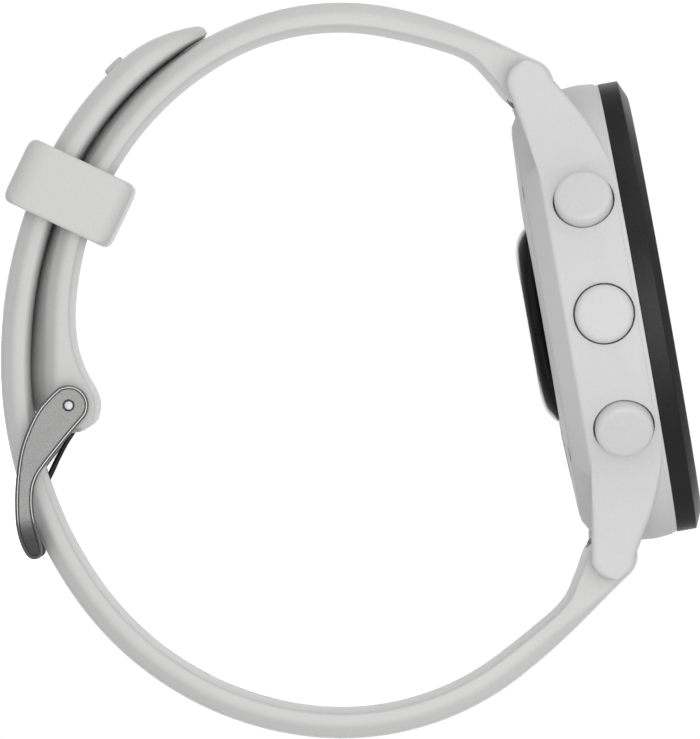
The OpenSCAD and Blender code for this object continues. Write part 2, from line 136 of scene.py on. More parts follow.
def make_piece(name: str, shells: list[Shell], crease: float = 38.0) -> bpy.types.Object:
    """Puts closed shells into one smooth mesh whose faces point outwards.

    Args:
        name: the piece's name.
        shells: its grids.
        crease: edges that turn by more than this many degrees stay sharp.

    Returns:
        The new object, at the origin.
    """
    starts = np.cumsum([0] + [s.points.shape[0] * s.points.shape[1] for s in shells])
    points = np.concatenate([s.points.reshape(-1, 3) for s in shells]) * MM
    faces = [f for s, start in zip(shells, starts) for f in s.faces(int(start))]
    mesh = bpy.data.meshes.new(name)
    mesh.from_pydata(points.tolist(), [], faces)
    clean(mesh, crease)
    piece = bpy.data.objects.new(name, mesh)
    bpy.context.scene.collection.objects.link(piece)
    return piece


def clean(mesh: bpy.types.Mesh, crease: float) -> None:
    """Merges doubles, drops faces without area, turns normals outwards and smooths.

    Args:
        mesh: the mesh to clean.
        crease: edges that turn by more than this many degrees stay sharp.
    """
    work = bmesh.new()
    work.from_mesh(mesh)
    bmesh.ops.remove_doubles(work, verts=work.verts, dist=MERGE)
    bmesh.ops.dissolve_degenerate(work, dist=MERGE, edges=work.edges)
    bmesh.ops.recalc_face_normals(work, faces=work.faces)
    work.to_mesh(mesh)
    work.free()
    mesh.shade_smooth()
    mesh.set_sharp_from_angle(angle=math.radians(crease))


def combine(piece: bpy.types.Object, shells: list[Shell], how: Join, crease: float = 38.0) -> None:
    """Cuts or adds solids and keeps the result as the piece's own mesh.

    Args:
        piece: the solid that stays.
        shells: the solids that are used up.
        how: whether they are cut away or added.
        crease: edges that turn by more than this many degrees stay sharp.
    """
    tool = make_piece("tool", shells)
    step = piece.modifiers.new("join", "BOOLEAN")
    step.operation, step.object, step.solver = how.value, tool, "EXACT"
    bpy.context.view_layer.update()
    seen = piece.evaluated_get(bpy.context.evaluated_depsgraph_get())
    result = bpy.data.meshes.new_from_object(seen)
    piece.modifiers.clear()
    old, piece.data = piece.data, result
    result.name = piece.name
    bpy.data.meshes.remove(old)
    spare = tool.data
    bpy.data.objects.remove(tool)
    bpy.data.meshes.remove(spare)
    clean(result, crease)


def curl(piece: bpy.types.Object, past: float, end: float, rate: float, crease: float) -> None:
    """Draws both ends of a piece in towards X = 0, by rate times the square of how far past.

    The mesh is first cut across in even steps, so that its flat faces follow the bend.

    Args:
        piece: the piece, with an arm on each side of X = 0.
        past: Y where the bend begins, in millimetres.
        end: Y of the piece's end.
        rate: bend for each millimetre.
        crease: edges that turn by more than this many degrees stay sharp.
    """
    work = bmesh.new()
    work.from_mesh(piece.data)
    for y in np.arange(past, end, -SLICE):
        parts = work.verts[:] + work.edges[:] + work.faces[:]
        bmesh.ops.bisect_plane(work, geom=parts, plane_co=(0, y * MM, 0), plane_no=(0, 1, 0),
                               dist=1e-8)
    work.to_mesh(piece.data)
    work.free()
    spots = np.empty(len(piece.data.vertices) * 3)
    piece.data.vertices.foreach_get("co", spots)
    spots = spots.reshape(-1, 3)
    beyond = np.maximum(past - spots[:, 1] / MM, 0)
    spots[:, 0] -= np.sign(spots[:, 0]) * rate * beyond ** 2 * MM
    piece.data.vertices.foreach_set("co", spots.ravel())
    clean(piece.data, crease)


def curve(at: np.ndarray, table: list[tuple[float, float]]) -> np.ndarray:
    """Smooth curve through a table, as a cubic between neighbours with central slopes.

    On a span of width w, with t from 0 to 1, the value is the sum of the end values and of
    w times the end slopes, each with its cubic weight in t.

    Args:
        at: where the curve is wanted, held to the table's ends.
        table: pairs of place and value, in rising order of place.

    Returns:
        The values, in the shape of at.
    """
    x, y = np.array(table, float).T
    slope = np.gradient(y, x)
    at = np.clip(at, x[0], x[-1])
    i = np.clip(np.searchsorted(x, at, side="right") - 1, 0, len(x) - 2)
    w = x[i + 1] - x[i]
    t = (at - x[i]) / w
    rise = t * t * (3 - 2 * t)
    return (y[i] * (1 - rise) + y[i + 1] * rise
            + w * slope[i] * t * (1 - t) ** 2 - w * slope[i + 1] * t * t * (1 - t))


def ease(at: np.ndarray, low: float, high: float) -> np.ndarray:
    """Rises from 0 at low to 1 at high, as 3t^2 - 2t^3."""
    t = np.clip((at - low) / (high - low), 0, 1)
    return t * t * (3 - 2 * t)


def soften(corners: np.ndarray, setback: np.ndarray, steps: int,
           closed: bool = True) -> np.ndarray:
    """Rounds the corners of outlines.

    A corner c becomes (1-t)^2 a + 2t(1-t) c + t^2 b, where a and b lie on its two edges at
    the setback from c, or just under half an edge if that is less.

    Args:
        corners: any number of outlines by corners by 2.
        setback: one distance for each corner, for all outlines or for each.
        steps: points on each rounded corner.
        closed: the outline joins up, or else it keeps its two ends.

    Returns:
        Outlines by corners times steps by 2.
    """
    before, after = np.roll(corners, 1, axis=-2), np.roll(corners, -1, axis=-2)
    setback = np.broadcast_to(setback, corners.shape[:-1]).copy()
    if not closed:
        setback[..., 0] = setback[..., -1] = 0

    def toward(other: np.ndarray) -> np.ndarray:
        """Finds the points at the setback along the edges towards other corners.

        Args:
            other: the corner at the far end of each edge.

        Returns:
            One point for each corner.
        """
        gap = other - corners
        length = np.maximum(np.linalg.norm(gap, axis=-1), 1e-9)
        return corners + gap * (np.minimum(setback, 0.48 * length) / length)[..., None]

    a, b = toward(before)[..., :, None, :], toward(after)[..., :, None, :]
    t = np.linspace(0, 1, steps)[:, None]
    bent = (1 - t) ** 2 * a + 2 * t * (1 - t) * corners[..., :, None, :] + t ** 2 * b
    return bent.reshape(corners.shape[:-2] + (-1, 2))


def rounded(table: list[tuple[float, float, float]], steps: int) -> np.ndarray:
    """Rounds the corners of one closed outline.

    Args:
        table: each corner's two coordinates and its setback.
        steps: points on each rounded corner.

    Returns:
        The outline, points by 2.
    """
    rows = np.array(table, float)
    return soften(rows[:, :2], rows[:, 2], steps)


def flowing(points: list[tuple[float, float]], per: int) -> np.ndarray:
    """Closed smooth outline through points, as a Catmull-Rom curve.

    Args:
        points: the places it passes.
        per: points made for each span.

    Returns:
        The outline, points by 2.
    """
    p = np.array(points, float)
    a, b, c, d = (np.roll(p, k, axis=0)[:, None, :] for k in (1, 0, -1, -2))
    t = np.linspace(0, 1, per, endpoint=False)[None, :, None]
    line = 0.5 * (2 * b + (c - a) * t + (2 * a - 5 * b + 4 * c - d) * t ** 2
                  + (3 * b - a - 3 * c + d) * t ** 3)
    return line.reshape(-1, 2)


def inset(outline: np.ndarray, depth: float) -> np.ndarray:
    """Moves a closed outline inwards along its own normals.

    Args:
        outline: points by 2.
        depth: how far each point moves.

    Returns:
        The moved outline.
    """
    along = np.roll(outline, -1, axis=0) - np.roll(outline, 1, axis=0)
    along /= np.maximum(np.linalg.norm(along, axis=1, keepdims=True), 1e-9)
    x, y = outline.T
    area = np.sum(x * np.roll(y, -1) - y * np.roll(x, -1))
    side = np.stack([-along[:, 1], along[:, 0]], axis=1) * np.sign(area)
    return outline + side * depth


def plate(outline: np.ndarray, rings: list[tuple[float, float]]) -> Shell:
    """Solid between rings of one outline laid out as Y and Z, stacked along X.

    Args:
        outline: points by 2.
        rings: pairs of X and of how far the outline is drawn in there.

    Returns:
        The capped shell.
    """
    rows = [np.column_stack([np.full(len(outline), x), inset(outline, d)]) for x, d in rings]
    return Shell(np.stack(rows), caps=True)


def revolve(profile: np.ndarray, turns: int, axis: tuple[float, float, float] = (0, 0, 1),
            origin: tuple[float, float, float] = (0, 0, 0)) -> Shell:
    """Turns a closed profile about an axis.

    A point is origin + h axis + r (cos a side + sin a other), with side and other square to
    the axis and to each other.

    Args:
        profile: points by 2, as radius and height along the axis.
        turns: steps round the axis.
        axis: the axis' direction, of length 1.
        origin: a point on the axis.

    Returns:
        The shell, closed round the axis and round its profile.
    """
    main = np.array(axis, float)
    hint = np.array([0, 0, 1.0]) if abs(main[2]) < 0.9 else np.array([1.0, 0, 0])
    side = np.cross(hint, main)
    side /= np.linalg.norm(side)
    other = np.cross(main, side)
    a = np.linspace(0, 2 * np.pi, turns, endpoint=False)[:, None, None]
    r, h = profile[None, :, 0, None], profile[None, :, 1, None]
    points = np.array(origin) + h * main + r * (np.cos(a) * side + np.sin(a) * other)
    return Shell(points, wrap_rows=True)


def block(x: tuple[float, float], y: tuple[float, float], z: tuple[float, float]) -> Shell:
    """Plain box between two corners, used only as a cutter."""
    outline = np.array([[y[0], z[0]], [y[1], z[0]], [y[1], z[1]], [y[0], z[1]]], float)
    return plate(outline, [(x[0], 0), (x[1], 0)])


def rod(x: tuple[float, float], radius: float, y: float, z: float, turns: int = 64) -> Shell:
    """Round bar along X, used as a cutter."""
    profile = np.array([[0, x[0]], [radius, x[0]], [radius, x[1]], [0, x[1]]], float)
    return revolve(profile, turns, (1, 0, 0), (0, y, z))


# ---------------------------------------------------------------- shader graphs

class Wire:
    """A shader socket that takes part in sums and products; each adds its Math node."""

    def __init__(self, graph: "Graph", socket: bpy.types.NodeSocket) -> None:
        """Keeps the graph that the socket belongs to."""
        self.graph, self.socket = graph, socket

    def maths(self, operation: str, first: Any, second: Any = 0.0, clamp: bool = False) -> "Wire":
        """Adds one Math node and returns its result."""
        return self.graph.node("ShaderNodeMath", {"operation": operation, "use_clamp": clamp},
                               {0: first, 1: second})

    def __add__(self, other: Any) -> "Wire":
        """Sum."""
        return self.maths("ADD", self, other)

    def __sub__(self, other: Any) -> "Wire":
        """Difference."""
        return self.maths("SUBTRACT", self, other)

    def __rsub__(self, other: Any) -> "Wire":
        """Difference from a number."""
        return self.maths("SUBTRACT", other, self)

    def __mul__(self, other: Any) -> "Wire":
        """Product."""
        return self.maths("MULTIPLY", self, other)

    def __truediv__(self, other: Any) -> "Wire":
        """Quotient."""
        return self.maths("DIVIDE", self, other)

    def __gt__(self, other: Any) -> "Wire":
        """One where greater, else zero."""
        return self.maths("GREATER_THAN", self, other)

    def __lt__(self, other: Any) -> "Wire":
        """One where less, else zero."""
        return self.maths("LESS_THAN", self, other)

    __radd__, __rmul__ = __add__, __mul__

    def size(self) -> "Wire":
        """Absolute value."""
        return self.maths("ABSOLUTE", self)

    def held(self) -> "Wire":
        """Value held between 0 and 1."""
        return self.maths("ADD", self, 0.0, clamp=True)


class Graph:
    """The node tree of one material, or of the world."""

    def __init__(self, owner: bpy.types.ID) -> None:
        """Empties the tree of its owner.

        Args:
            owner: the material or the world.
        """
        self.owner = owner
        owner.use_nodes = True
        self.tree = owner.node_tree
        self.tree.nodes.clear()

    def node(self, kind: str, settings: dict[str, Any] | None = None,
             inputs: dict[int | str, Any] | None = None,
             out: int | str | None = 0) -> Wire | None:
        """Adds one node.

        Args:
            kind: the node's type.
            settings: its properties, which are set first.
            inputs: values or wires for its sockets, by name or number.
            out: the output that is returned, or None for a node without outputs.

        Returns:
            The wire from that output, if there is one.
        """
        made = self.tree.nodes.new(kind)
        for name, value in (settings or {}).items():
            setattr(made, name, value)
        for name, value in (inputs or {}).items():
            if isinstance(value, Wire):
                self.tree.links.new(value.socket, made.inputs[name])
            else:
                made.inputs[name].default_value = value
        return None if out is None else Wire(self, made.outputs[out])

    def place(self) -> Wire:
        """Object coordinates in millimetres."""
        spot = self.node("ShaderNodeTexCoord", out="Object")
        return self.node("ShaderNodeVectorMath", {"operation": "SCALE"},
                         {0: spot, "Scale": 1000.0})

    def parts(self, where: Wire) -> tuple[Wire, Wire, Wire]:
        """Takes a vector apart.

        Args:
            where: the vector.

        Returns:
            Its X, Y and Z.
        """
        first = self.node("ShaderNodeSeparateXYZ", inputs={0: where})
        x, y, z = (Wire(self, socket) for socket in first.socket.node.outputs)
        return x, y, z

    def noise(self, where: Wire, scale: float, detail: float = 3.0, rough: float = 0.55) -> Wire:
        """Noise around 0.5, with scale in cells for each millimetre."""
        return self.node("ShaderNodeTexNoise", {"noise_dimensions": "3D"},
                         {"Vector": where, "Scale": scale, "Detail": detail, "Roughness": rough})

    def cells(self, where: Wire, scale: float) -> Wire:
        """Distance to the nearest of scattered points."""
        return self.node("ShaderNodeTexVoronoi", {"feature": "F1"},
                         {"Vector": where, "Scale": scale}, "Distance")

    def blend(self, amount: Any, first: Any, second: Any) -> Wire:
        """Mixes two colours."""
        return self.node("ShaderNodeMix", {"data_type": "RGBA"},
                         {0: amount, 6: first, 7: second}, 2)

    def bump(self, height: Wire, strength: float, depth: float) -> Wire:
        """Turns a height between 0 and 1 into a normal, with depth in millimetres."""
        return self.node("ShaderNodeBump", inputs={"Strength": strength, "Distance": depth * MM,
                                                   "Height": height})

    def finish(self, sockets: dict[str, Any]) -> bpy.types.Material:
        """Adds the surface shader with the given values and wires.

        Args:
            sockets: values or wires for the Principled shader, by name.

        Returns:
            The finished material.
        """
        shader = self.node("ShaderNodeBsdfPrincipled", inputs=sockets)
        self.node("ShaderNodeOutputMaterial", inputs={"Surface": shader}, out=None)
        return self.owner


def tone(code: str) -> tuple[float, float, float, float]:
    """Turns a six-digit screen colour into the shader's linear colour."""
    parts = [int(code[i:i + 2], 16) / 255 for i in (0, 2, 4)]
    return tuple(p / 12.92 if p <= 0.04045 else ((p + 0.055) / 1.055) ** 2.4 for p in parts) + (1,)


# ---------------------------------------------------------------- finishes

class Grain(Enum):
    """How a surface is textured."""

    LEATHERY = "leathery"
    SPECKLED = "speckled"
    SILKY = "silky"
    BRUSHED = "brushed"


@dataclass(frozen=True)
class Finish:
    """An opaque surface with grain, mottling and worn spots.

    Args:
        name: the material's name.
        light: screen colour of the raised grain.
        dark: screen colour of the hollows.
        roughness: mean roughness.
        grain: how it is textured.
        scale: grain cells for each millimetre.
        depth: height of the grain in millimetres.
        metal: 1 for bare metal, 0 for anything else.
        coat: weight of a clear coat.
        sheen: weight of the soft sheen of rubber.
        scatter: share of light that scatters below the surface.
    """

    name: str
    light: str
    dark: str
    roughness: float
    grain: Grain
    scale: float
    depth: float
    metal: float = 0.0
    coat: float = 0.0
    sheen: float = 0.0
    scatter: float = 0.0

    @functools.cache
    def material(self) -> bpy.types.Material:
        """Builds the material once: height from the grain, colour and roughness from it too.

        Returns:
            The material.
        """
        g = Graph(bpy.data.materials.new(self.name))
        where = g.place()
        broad = g.noise(where, 0.12, 2.0)
        if self.grain is Grain.LEATHERY:
            height = g.cells(where, self.scale) * 0.6 + g.noise(where, self.scale * 1.7) * 0.4
        elif self.grain is Grain.SPECKLED:
            height = g.noise(where, self.scale, 2.0, 0.75)
        elif self.grain is Grain.BRUSHED:
            drawn = g.node("ShaderNodeMapping", {}, {"Vector": where, "Scale": (0.15, 1.0, 1.0)})
            height = g.noise(drawn, self.scale, 4.0, 0.7)
        else:
            height = g.noise(where, self.scale, 1.0, 0.4)
        spread = ((height - 0.5) * 1.6 + (broad - 0.5) * 0.5 + 0.5).held()
        sockets = {
            "Base Color": g.blend(spread, tone(self.dark), tone(self.light)),
            "Roughness": (self.roughness + (broad - 0.5) * 0.12 + (height - 0.5) * 0.1).held(),
            "Metallic": self.metal,
            "Normal": g.bump(height, 0.55, self.depth),
        }
        if self.coat:
            sockets |= {"Coat Weight": self.coat, "Coat Roughness": 0.12}
        if self.sheen:
            sockets |= {"Sheen Weight": self.sheen, "Sheen Roughness": 0.5}
        if self.scatter:
            sockets |= {"Subsurface Weight": self.scatter, "Subsurface Scale": 0.001,
                        "Subsurface Radius": (1.0, 0.95, 0.9)}
        return g.finish(sockets)


@dataclass(frozen=True)
class LensGlass:
    """Clear glass, drawn as a mirror that shows only as much as glass reflects."""

    name: str = "lens_glass"

    @functools.cache
    def material(self) -> bpy.types.Material:
        """Builds the glass: alpha is the Fresnel share of reflection plus faint smears.

        Returns:
            The material.
        """
        g = Graph(bpy.data.materials.new(self.name))
        smear = g.noise(g.place(), 0.3, 3.0)
        share = g.node("ShaderNodeFresnel", inputs={"IOR": 1.5})
        return g.finish({"Base Color": (0.96, 0.97, 1, 1), "Metallic": 1.0,
                         "Roughness": smear * 0.05 + 0.01,
                         "Alpha": (share * 0.9 + 0.015).held()})


@dataclass(frozen=True)
class DialScreen:
    """The display: a black dial with minute ticks and two progress rings.

    Args:
        tick_r: radius of the middle of the minute ticks, in millimetres.
        ring_r: radius of the middle of the progress rings.
    """

    name: str = "display_screen"
    tick_r: float = 14.6
    ring_r: float = 12.9

    @functools.cache
    def material(self) -> bpy.types.Material:
        """Builds the dial from radius and angle: ticks where 60 or 12 a turn line up.

        Returns:
            The material.
        """
        g = Graph(bpy.data.materials.new(self.name))
        where = g.place()
        x, y, _ = g.parts(where)
        radius = x.maths("SQRT", x * x + y * y)
        turn = x.maths("ARCTAN2", x, y) / (2 * math.pi) + 0.5

        def near(value: Wire, goal: float, half: float) -> Wire:
            """Returns one where a value lies within half of a goal."""
            return (value - goal).size() < half

        def comb(count: int, width: float) -> Wire:
            """Returns one on a number of radial lines, width in millimetres."""
            phase = turn.maths("FRACT", turn * count + 0.5)
            return ((phase - 0.5).size() * radius * (2 * math.pi / count)) < width / 2

        fine = comb(60, 0.16) * near(radius, self.tick_r + 0.2, 0.3)
        bold = comb(12, 0.34) * near(radius, self.tick_r, 0.55)
        ring = near(radius, self.ring_r, 0.32)
        done = (turn > 0.5) * ring
        lines = (fine + bold).held()
        colour = g.blend(ring, tone("05070A"), tone("1B242C"))
        colour = g.blend(done, colour, tone("2BB7D8"))
        colour = g.blend(lines, colour, tone("E8ECEF"))
        grid = g.noise(where, 6.0, 1.0)
        return g.finish({"Base Color": colour, "Roughness": grid * 0.1 + 0.2,
                         "Emission Color": colour, "Emission Strength": 0.55})


@dataclass(frozen=True)
class SensorWindow:
    """Glossy black window with the emitters and detectors of an optical sensor behind it."""

    name: str = "sensor_window"

    @functools.cache
    def material(self) -> bpy.types.Material:
        """Builds it from radius and angle: a middle emitter and four detectors in a ring.

        Returns:
            The material.
        """
        g = Graph(bpy.data.materials.new(self.name))
        where = g.place()
        x, y, z = g.parts(where)
        u, v = (x + y) * math.sqrt(0.5), (x - y) * math.sqrt(0.5)
        radius = x.maths("SQRT", x * x + y * y)
        flat = z < 0.3
        arm = ((u.size() - 5.1).size() < 0.95) * (v.size() < 1.35)
        other = ((v.size() - 5.1).size() < 0.95) * (u.size() < 1.35)
        eyes = ((arm + other) * flat).held()
        lamp = ((x.size() - 2.0).size() < 0.55) * (y.size() < 0.8) * flat
        rim = ((radius - 7.15).size() < 0.12) * flat
        dust = g.noise(where, 4.0, 2.0)
        colour = g.blend(dust * 0.5, tone("050506"), tone("101113"))
        colour = g.blend(eyes, colour, tone("232A38"))
        colour = g.blend(lamp, colour, tone("3F5B34"))
        colour = g.blend(rim, colour, tone("2A2B2D"))
        return g.finish({"Base Color": colour, "Roughness": dust * 0.1 + 0.12,
                         "Specular IOR Level": 0.22})


RESIN = Finish("case_resin", "D8D8D8", "D1D1D1", 0.55, Grain.LEATHERY, 6.5, 0.006, scatter=0.03)
COVER = Finish("cover_resin", "D4D4D4", "CCCCCC", 0.5, Grain.LEATHERY, 5.0, 0.005)
PAINT = Finish("button_paint", "D6D6D6", "D2D2D2", 0.42, Grain.SILKY, 2.5, 0.002, coat=0.08)
SILICONE = Finish("band_silicone", "D5D5D4", "D0D0CF", 0.52, Grain.SILKY, 4.0, 0.002, sheen=0.3,
                  scatter=0.04)
BEZEL = Finish("bezel_black", "303031", "050506", 0.46, Grain.SPECKLED, 9.0, 0.016)
SATIN = Finish("buckle_metal", "BEBEBD", "777776", 0.42, Grain.SPECKLED, 9.0, 0.007, metal=1.0)
DARK = Finish("tang_metal", "3A3A3B", "1E1E1F", 0.34, Grain.BRUSHED, 5.0, 0.004, metal=1.0)
PIN = Finish("pin_steel", "E4E8EC", "D0D4D8", 0.42, Grain.SPECKLED, 6.0, 0.003, metal=1.0)
STEEL = Finish("bright_steel", "D8D8D8", "B4B4B6", 0.22, Grain.BRUSHED, 6.0, 0.003, metal=1.0)
BLACK_STEEL = Finish("dark_steel", "5A5A5C", "333335", 0.3, Grain.BRUSHED, 6.0, 0.003, metal=1.0)

INNER = {finish.name: finish for finish in (
    Finish("adhesive_black", "1B1B1C", "101011", 0.8, Grain.SILKY, 4.0, 0.01),
    Finish("polyimide", "C27A22", "8F5413", 0.35, Grain.BRUSHED, 3.0, 0.004),
    Finish("seal_rubber", "242425", "151516", 0.65, Grain.SILKY, 5.0, 0.006),
    Finish("board_green", "1F6B3A", "123F22", 0.4, Grain.SPECKLED, 2.0, 0.006, coat=0.3),
    Finish("led_green", "7FD39A", "3F9A5C", 0.25, Grain.SILKY, 4.0, 0.003),
    Finish("diode_dark", "20263A", "10131F", 0.2, Grain.SILKY, 4.0, 0.003, coat=0.4),
    Finish("insert_black", "2B2B2C", "19191A", 0.55, Grain.LEATHERY, 5.0, 0.008),
    Finish("contact_gold", "E4BE6A", "BC9440", 0.22, Grain.BRUSHED, 7.0, 0.003, metal=1.0),
    Finish("frame_grey", "77787A", "5C5D5F", 0.5, Grain.SPECKLED, 4.0, 0.01),
    Finish("battery_foil", "C9CBCE", "A3A5A8", 0.3, Grain.BRUSHED, 2.0, 0.01, metal=1.0),
    Finish("pad_foam", "5B5B5C", "363637", 0.9, Grain.LEATHERY, 3.0, 0.04),
    Finish("antenna_copper", "D99A63", "A8693A", 0.3, Grain.BRUSHED, 4.0, 0.004, metal=1.0),
    Finish("beeper_grey", "8D8E90", "6C6D6F", 0.45, Grain.SPECKLED, 3.0, 0.006),
    Finish("rotor_metal", "8C8A86", "66645F", 0.4, Grain.SPECKLED, 4.0, 0.01, metal=1.0),
    Finish("switch_steel", "B9BABC", "8F9092", 0.3, Grain.BRUSHED, 5.0, 0.004, metal=1.0),
    STEEL, BLACK_STEEL, COVER, DARK, LensGlass(),
)}
INNER |= {"display_dark": DialScreen(), "sensor_black": SensorWindow()}


# ---------------------------------------------------------------- sub-assemblies

@dataclass
class Assembly:
    """A group of pieces that are built together."""

    def settle(self, piece: bpy.types.Object, finish: Any, slot: str, body: str,
               *nodes: str) -> bpy.types.Object:
        """Dresses a piece, ties it to its body and hides the CAD nodes that it stands for.

        Args:
            piece: the new object.
            finish: what it is made of.
            slot: the record's material slot; not used.
            body: the body that it moves with.
            nodes: CAD nodes that it replaces.

        Returns:
            The piece.
        """
        piece.data.materials.clear()
        piece.data.materials.append(finish.material())
        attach(piece, body)
        if nodes:
            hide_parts(*nodes)
        LOG.info("%s: %d faces on %s", piece.name, len(piece.data.polygons), body)
        return piece


@dataclass
class WatchCase(Assembly):
    """The resin case with its four lugs, the bezel ring and the sensor window."""

    bar_y: float = BAR[0]
    bar_z: float = BAR[1]
    lug_in: float = 10.15
    lug_end_r: float = 2.15
    bar_room_r: float = 3.2
    bore_r: float = 1.45
    flare: float = 0.12
    turns: int = 288
    barrel: list = field(default_factory=lambda: [
        (18.75, 1.8, 0.02), (18.9, 1.75, 0.08), (21.5, 3.3, 0.14), (21.65, 3.5, 0.14),
        (21.65, 7.1, 0.8), (21.8, 8.4, 0.7), (21.62, 10.02, 0.05), (21.5, 10.12, 0.04),
        (21.46, 10.5, 0.08),
        (19.95, 10.5, 0.03), (19.9, 9.7, 0.03), (18.75, 9.7, 0.03)])
    top_line: list = field(default_factory=lambda: [
        (10, 10.46), (12.5, 10.38), (14.5, 10.0), (15.5, 9.72), (17, 9.2), (18.5, 8.55),
        (20, 7.75), (21.2, 7.05), (22.4, 6.4), (23.6, 5.6), (24.8, 4.4)])
    low_line: list = field(default_factory=lambda: [
        (10, 3.5), (14, 3.35), (16, 3.05), (18, 2.75), (20, 2.4), (21, 2.2), (22.65, 1.87)])
    plan: list = field(default_factory=lambda: [
        (10, 18.6), (11, 18.4), (12.8, 17.45), (13.4, 17.0), (14.3, 16.4), (15.35, 15.8),
        (16.7, 15.2), (17.9, 14.75), (19.4, 14.3), (21.05, 13.9), (23, 13.5), (24.8, 13.2)])

    def lug(self) -> Shell:
        """Lofts the lug at 12 o'clock on the 3 o'clock side.

        A section at y is a rounded rectangle in X and Z, from the inner face to the plan curve
        and between the two side curves; past the bar it shrinks as the end circle does.

        Returns:
            The capped shell.
        """
        end = self.bar_y + self.lug_end_r
        turn = np.linspace(-0.1, np.pi / 2, 26)
        y = np.concatenate([np.linspace(10, self.bar_y - 0.4, 44),
                            self.bar_y + self.lug_end_r * np.sin(turn)])
        y = np.minimum(y, end - 1e-4)
        dome = np.sqrt(np.maximum(self.lug_end_r ** 2 - np.maximum(y - self.bar_y, 0) ** 2, 0))
        past = ease(y, self.bar_y - 0.6, self.bar_y + 1.1)
        top = curve(y, self.top_line) * (1 - past) + (self.bar_z + dome) * past
        low = np.where(y < self.bar_y, curve(y, self.low_line), self.bar_z - dome)
        out = curve(y, self.plan)
        ones = np.full_like(y, self.lug_in)
        corners = np.stack([np.stack([ones, low], 1), np.stack([out, low], 1),
                            np.stack([out, top], 1), np.stack([ones, top], 1)], axis=1)
        round_off = 0.12 + 0.75 * ease(y, 13.0, 24.0)
        setback = np.stack([0 * y + 0.2, round_off, round_off * 1.1, 0 * y + 0.3], axis=1)
        section = soften(corners, setback, 9)
        high = section[..., 1]
        swell = (curve(high, [(3.3, 0.0), (5, 0.0), (7.1, 0.0), (8.4, 0.13), (10.5, -0.12)])
                 * (1 - ease(y, 12, 21))[:, None] * (section[..., 0] > self.lug_in + 0.5))
        x = section[..., 0] + swell
        return Shell(np.stack([x, np.broadcast_to(y[:, None], x.shape), high], axis=-1), caps=True)

    def build(self, angles: tuple[float, ...], button_z: float, well_r: float) -> None:
        """Builds the case, bezel and sensor window.

        Args:
            angles: directions of the button wells, in degrees.
            button_z: height of their axes.
            well_r: radius of a well.
        """
        piece = make_piece("case", [revolve(rounded(self.barrel, 7), self.turns)])
        room = [rod((-self.lug_in, self.lug_in), self.bar_room_r, s * self.bar_y, self.bar_z)
                for s in (-1, 1)]
        combine(piece, room, Join.CUT)
        first = self.lug()
        lugs = [first, first.mirrored(0), first.mirrored(1), first.mirrored(0).mirrored(1)]
        combine(piece, lugs, Join.ADD)
        mouth_r = well_r + self.flare
        flare = np.array([[0, 17], [self.bore_r, 17], [self.bore_r, 20.3], [well_r, 20.3],
                          [well_r, 21.45], [mouth_r, 22.0], [mouth_r, 24], [0, 24]])
        wells = [revolve(flare, 72, (math.cos(math.radians(a)), math.sin(math.radians(a)), 0),
                         (0, 0, button_z)) for a in angles]
        combine(piece, wells, Join.CUT)
        self.settle(piece, RESIN, "case_resin", "head", "case")
        self.bezel()
        self.window()

    def bezel(self) -> None:
        """Turns the bezel ring from its profile, with small breaks on its edges."""
        profile = rounded([
            (21.5, 10.53, 0.05), (21.5, 12.35, 0.1), (19.9, 13.05, 0.12), (19.6, 13.1, 0.12),
            (17.8, 13.1, 0.1), (17.55, 12.85, 0.08), (17.55, 11.6, 0.03), (16.2, 11.6, 0.03),
            (16.2, 11.0, 0.03), (18, 11.0, 0.03), (18, 9.7, 0.03), (19.8, 9.7, 0.03),
            (19.8, 10.53, 0.03)], 5)
        ring = revolve(profile, self.turns)
        self.settle(make_piece("bezel", [ring], 25), BEZEL, "bezel_black", "head", "bezel")

    def window(self) -> None:
        """Turns the domed sensor window, with a fine step round its flat face."""
        profile = rounded([
            (0, 0.0, 0.0), (6.98, 0.0, 0.04), (7.06, 0.05, 0.03), (7.2, 0.02, 0.05),
            (8.2, 0.28, 0.5), (8.95, 0.8, 0.3), (9.25, 1.1, 0.1), (9.4, 1.35, 0.05),
            (9.4, 1.9, 0.02), (7.2, 1.9, 0.02), (7.2, 0.8, 0.02), (0, 0.8, 0.0)], 6)
        dome = make_piece("sensor_window", [revolve(profile, 192)], 30)
        self.settle(dome, SensorWindow(), "sensor_black", "head", "sensor_window")


@dataclass
class PushButtons(Assembly):
    """The five push buttons, each turned in one piece with its stem."""

    names: tuple[str, ...] = ("light", "up", "down", "start", "back")
    angles: tuple[float, ...] = (150, 180, 210, 30, -30)
    height: float = 7.05
    gap_r: float = 2.89
    cap_r: float = 2.75
    cap_out: float = 22.85

    def build(self) -> None:
        """Turns each button about its own axis; the face is a shallow dome in a soft rim."""
        face, edge = self.cap_out, self.cap_r
        profile = rounded([
            (0, face, 0.0), (1.2, face - 0.03, 0.6), (edge - 0.42, face - 0.1, 0.25),
            (edge - 0.13, face - 0.27, 0.16), (edge, face - 0.62, 0.2), (edge, 20.9, 0.05),
            (0.95, 20.9, 0.03), (0.95, 17.75, 0.1), (0, 17.75, 0.0)], 7)
        for name, angle in zip(self.names, self.angles):
            way = (math.cos(math.radians(angle)), math.sin(math.radians(angle)), 0)
            cap = revolve(profile, 96, way, (0, 0, self.height))
            self.settle(make_piece(f"{name}_button", [cap]), PAINT, "button_paint", f"{name}_key",
                        f"{name}_button")


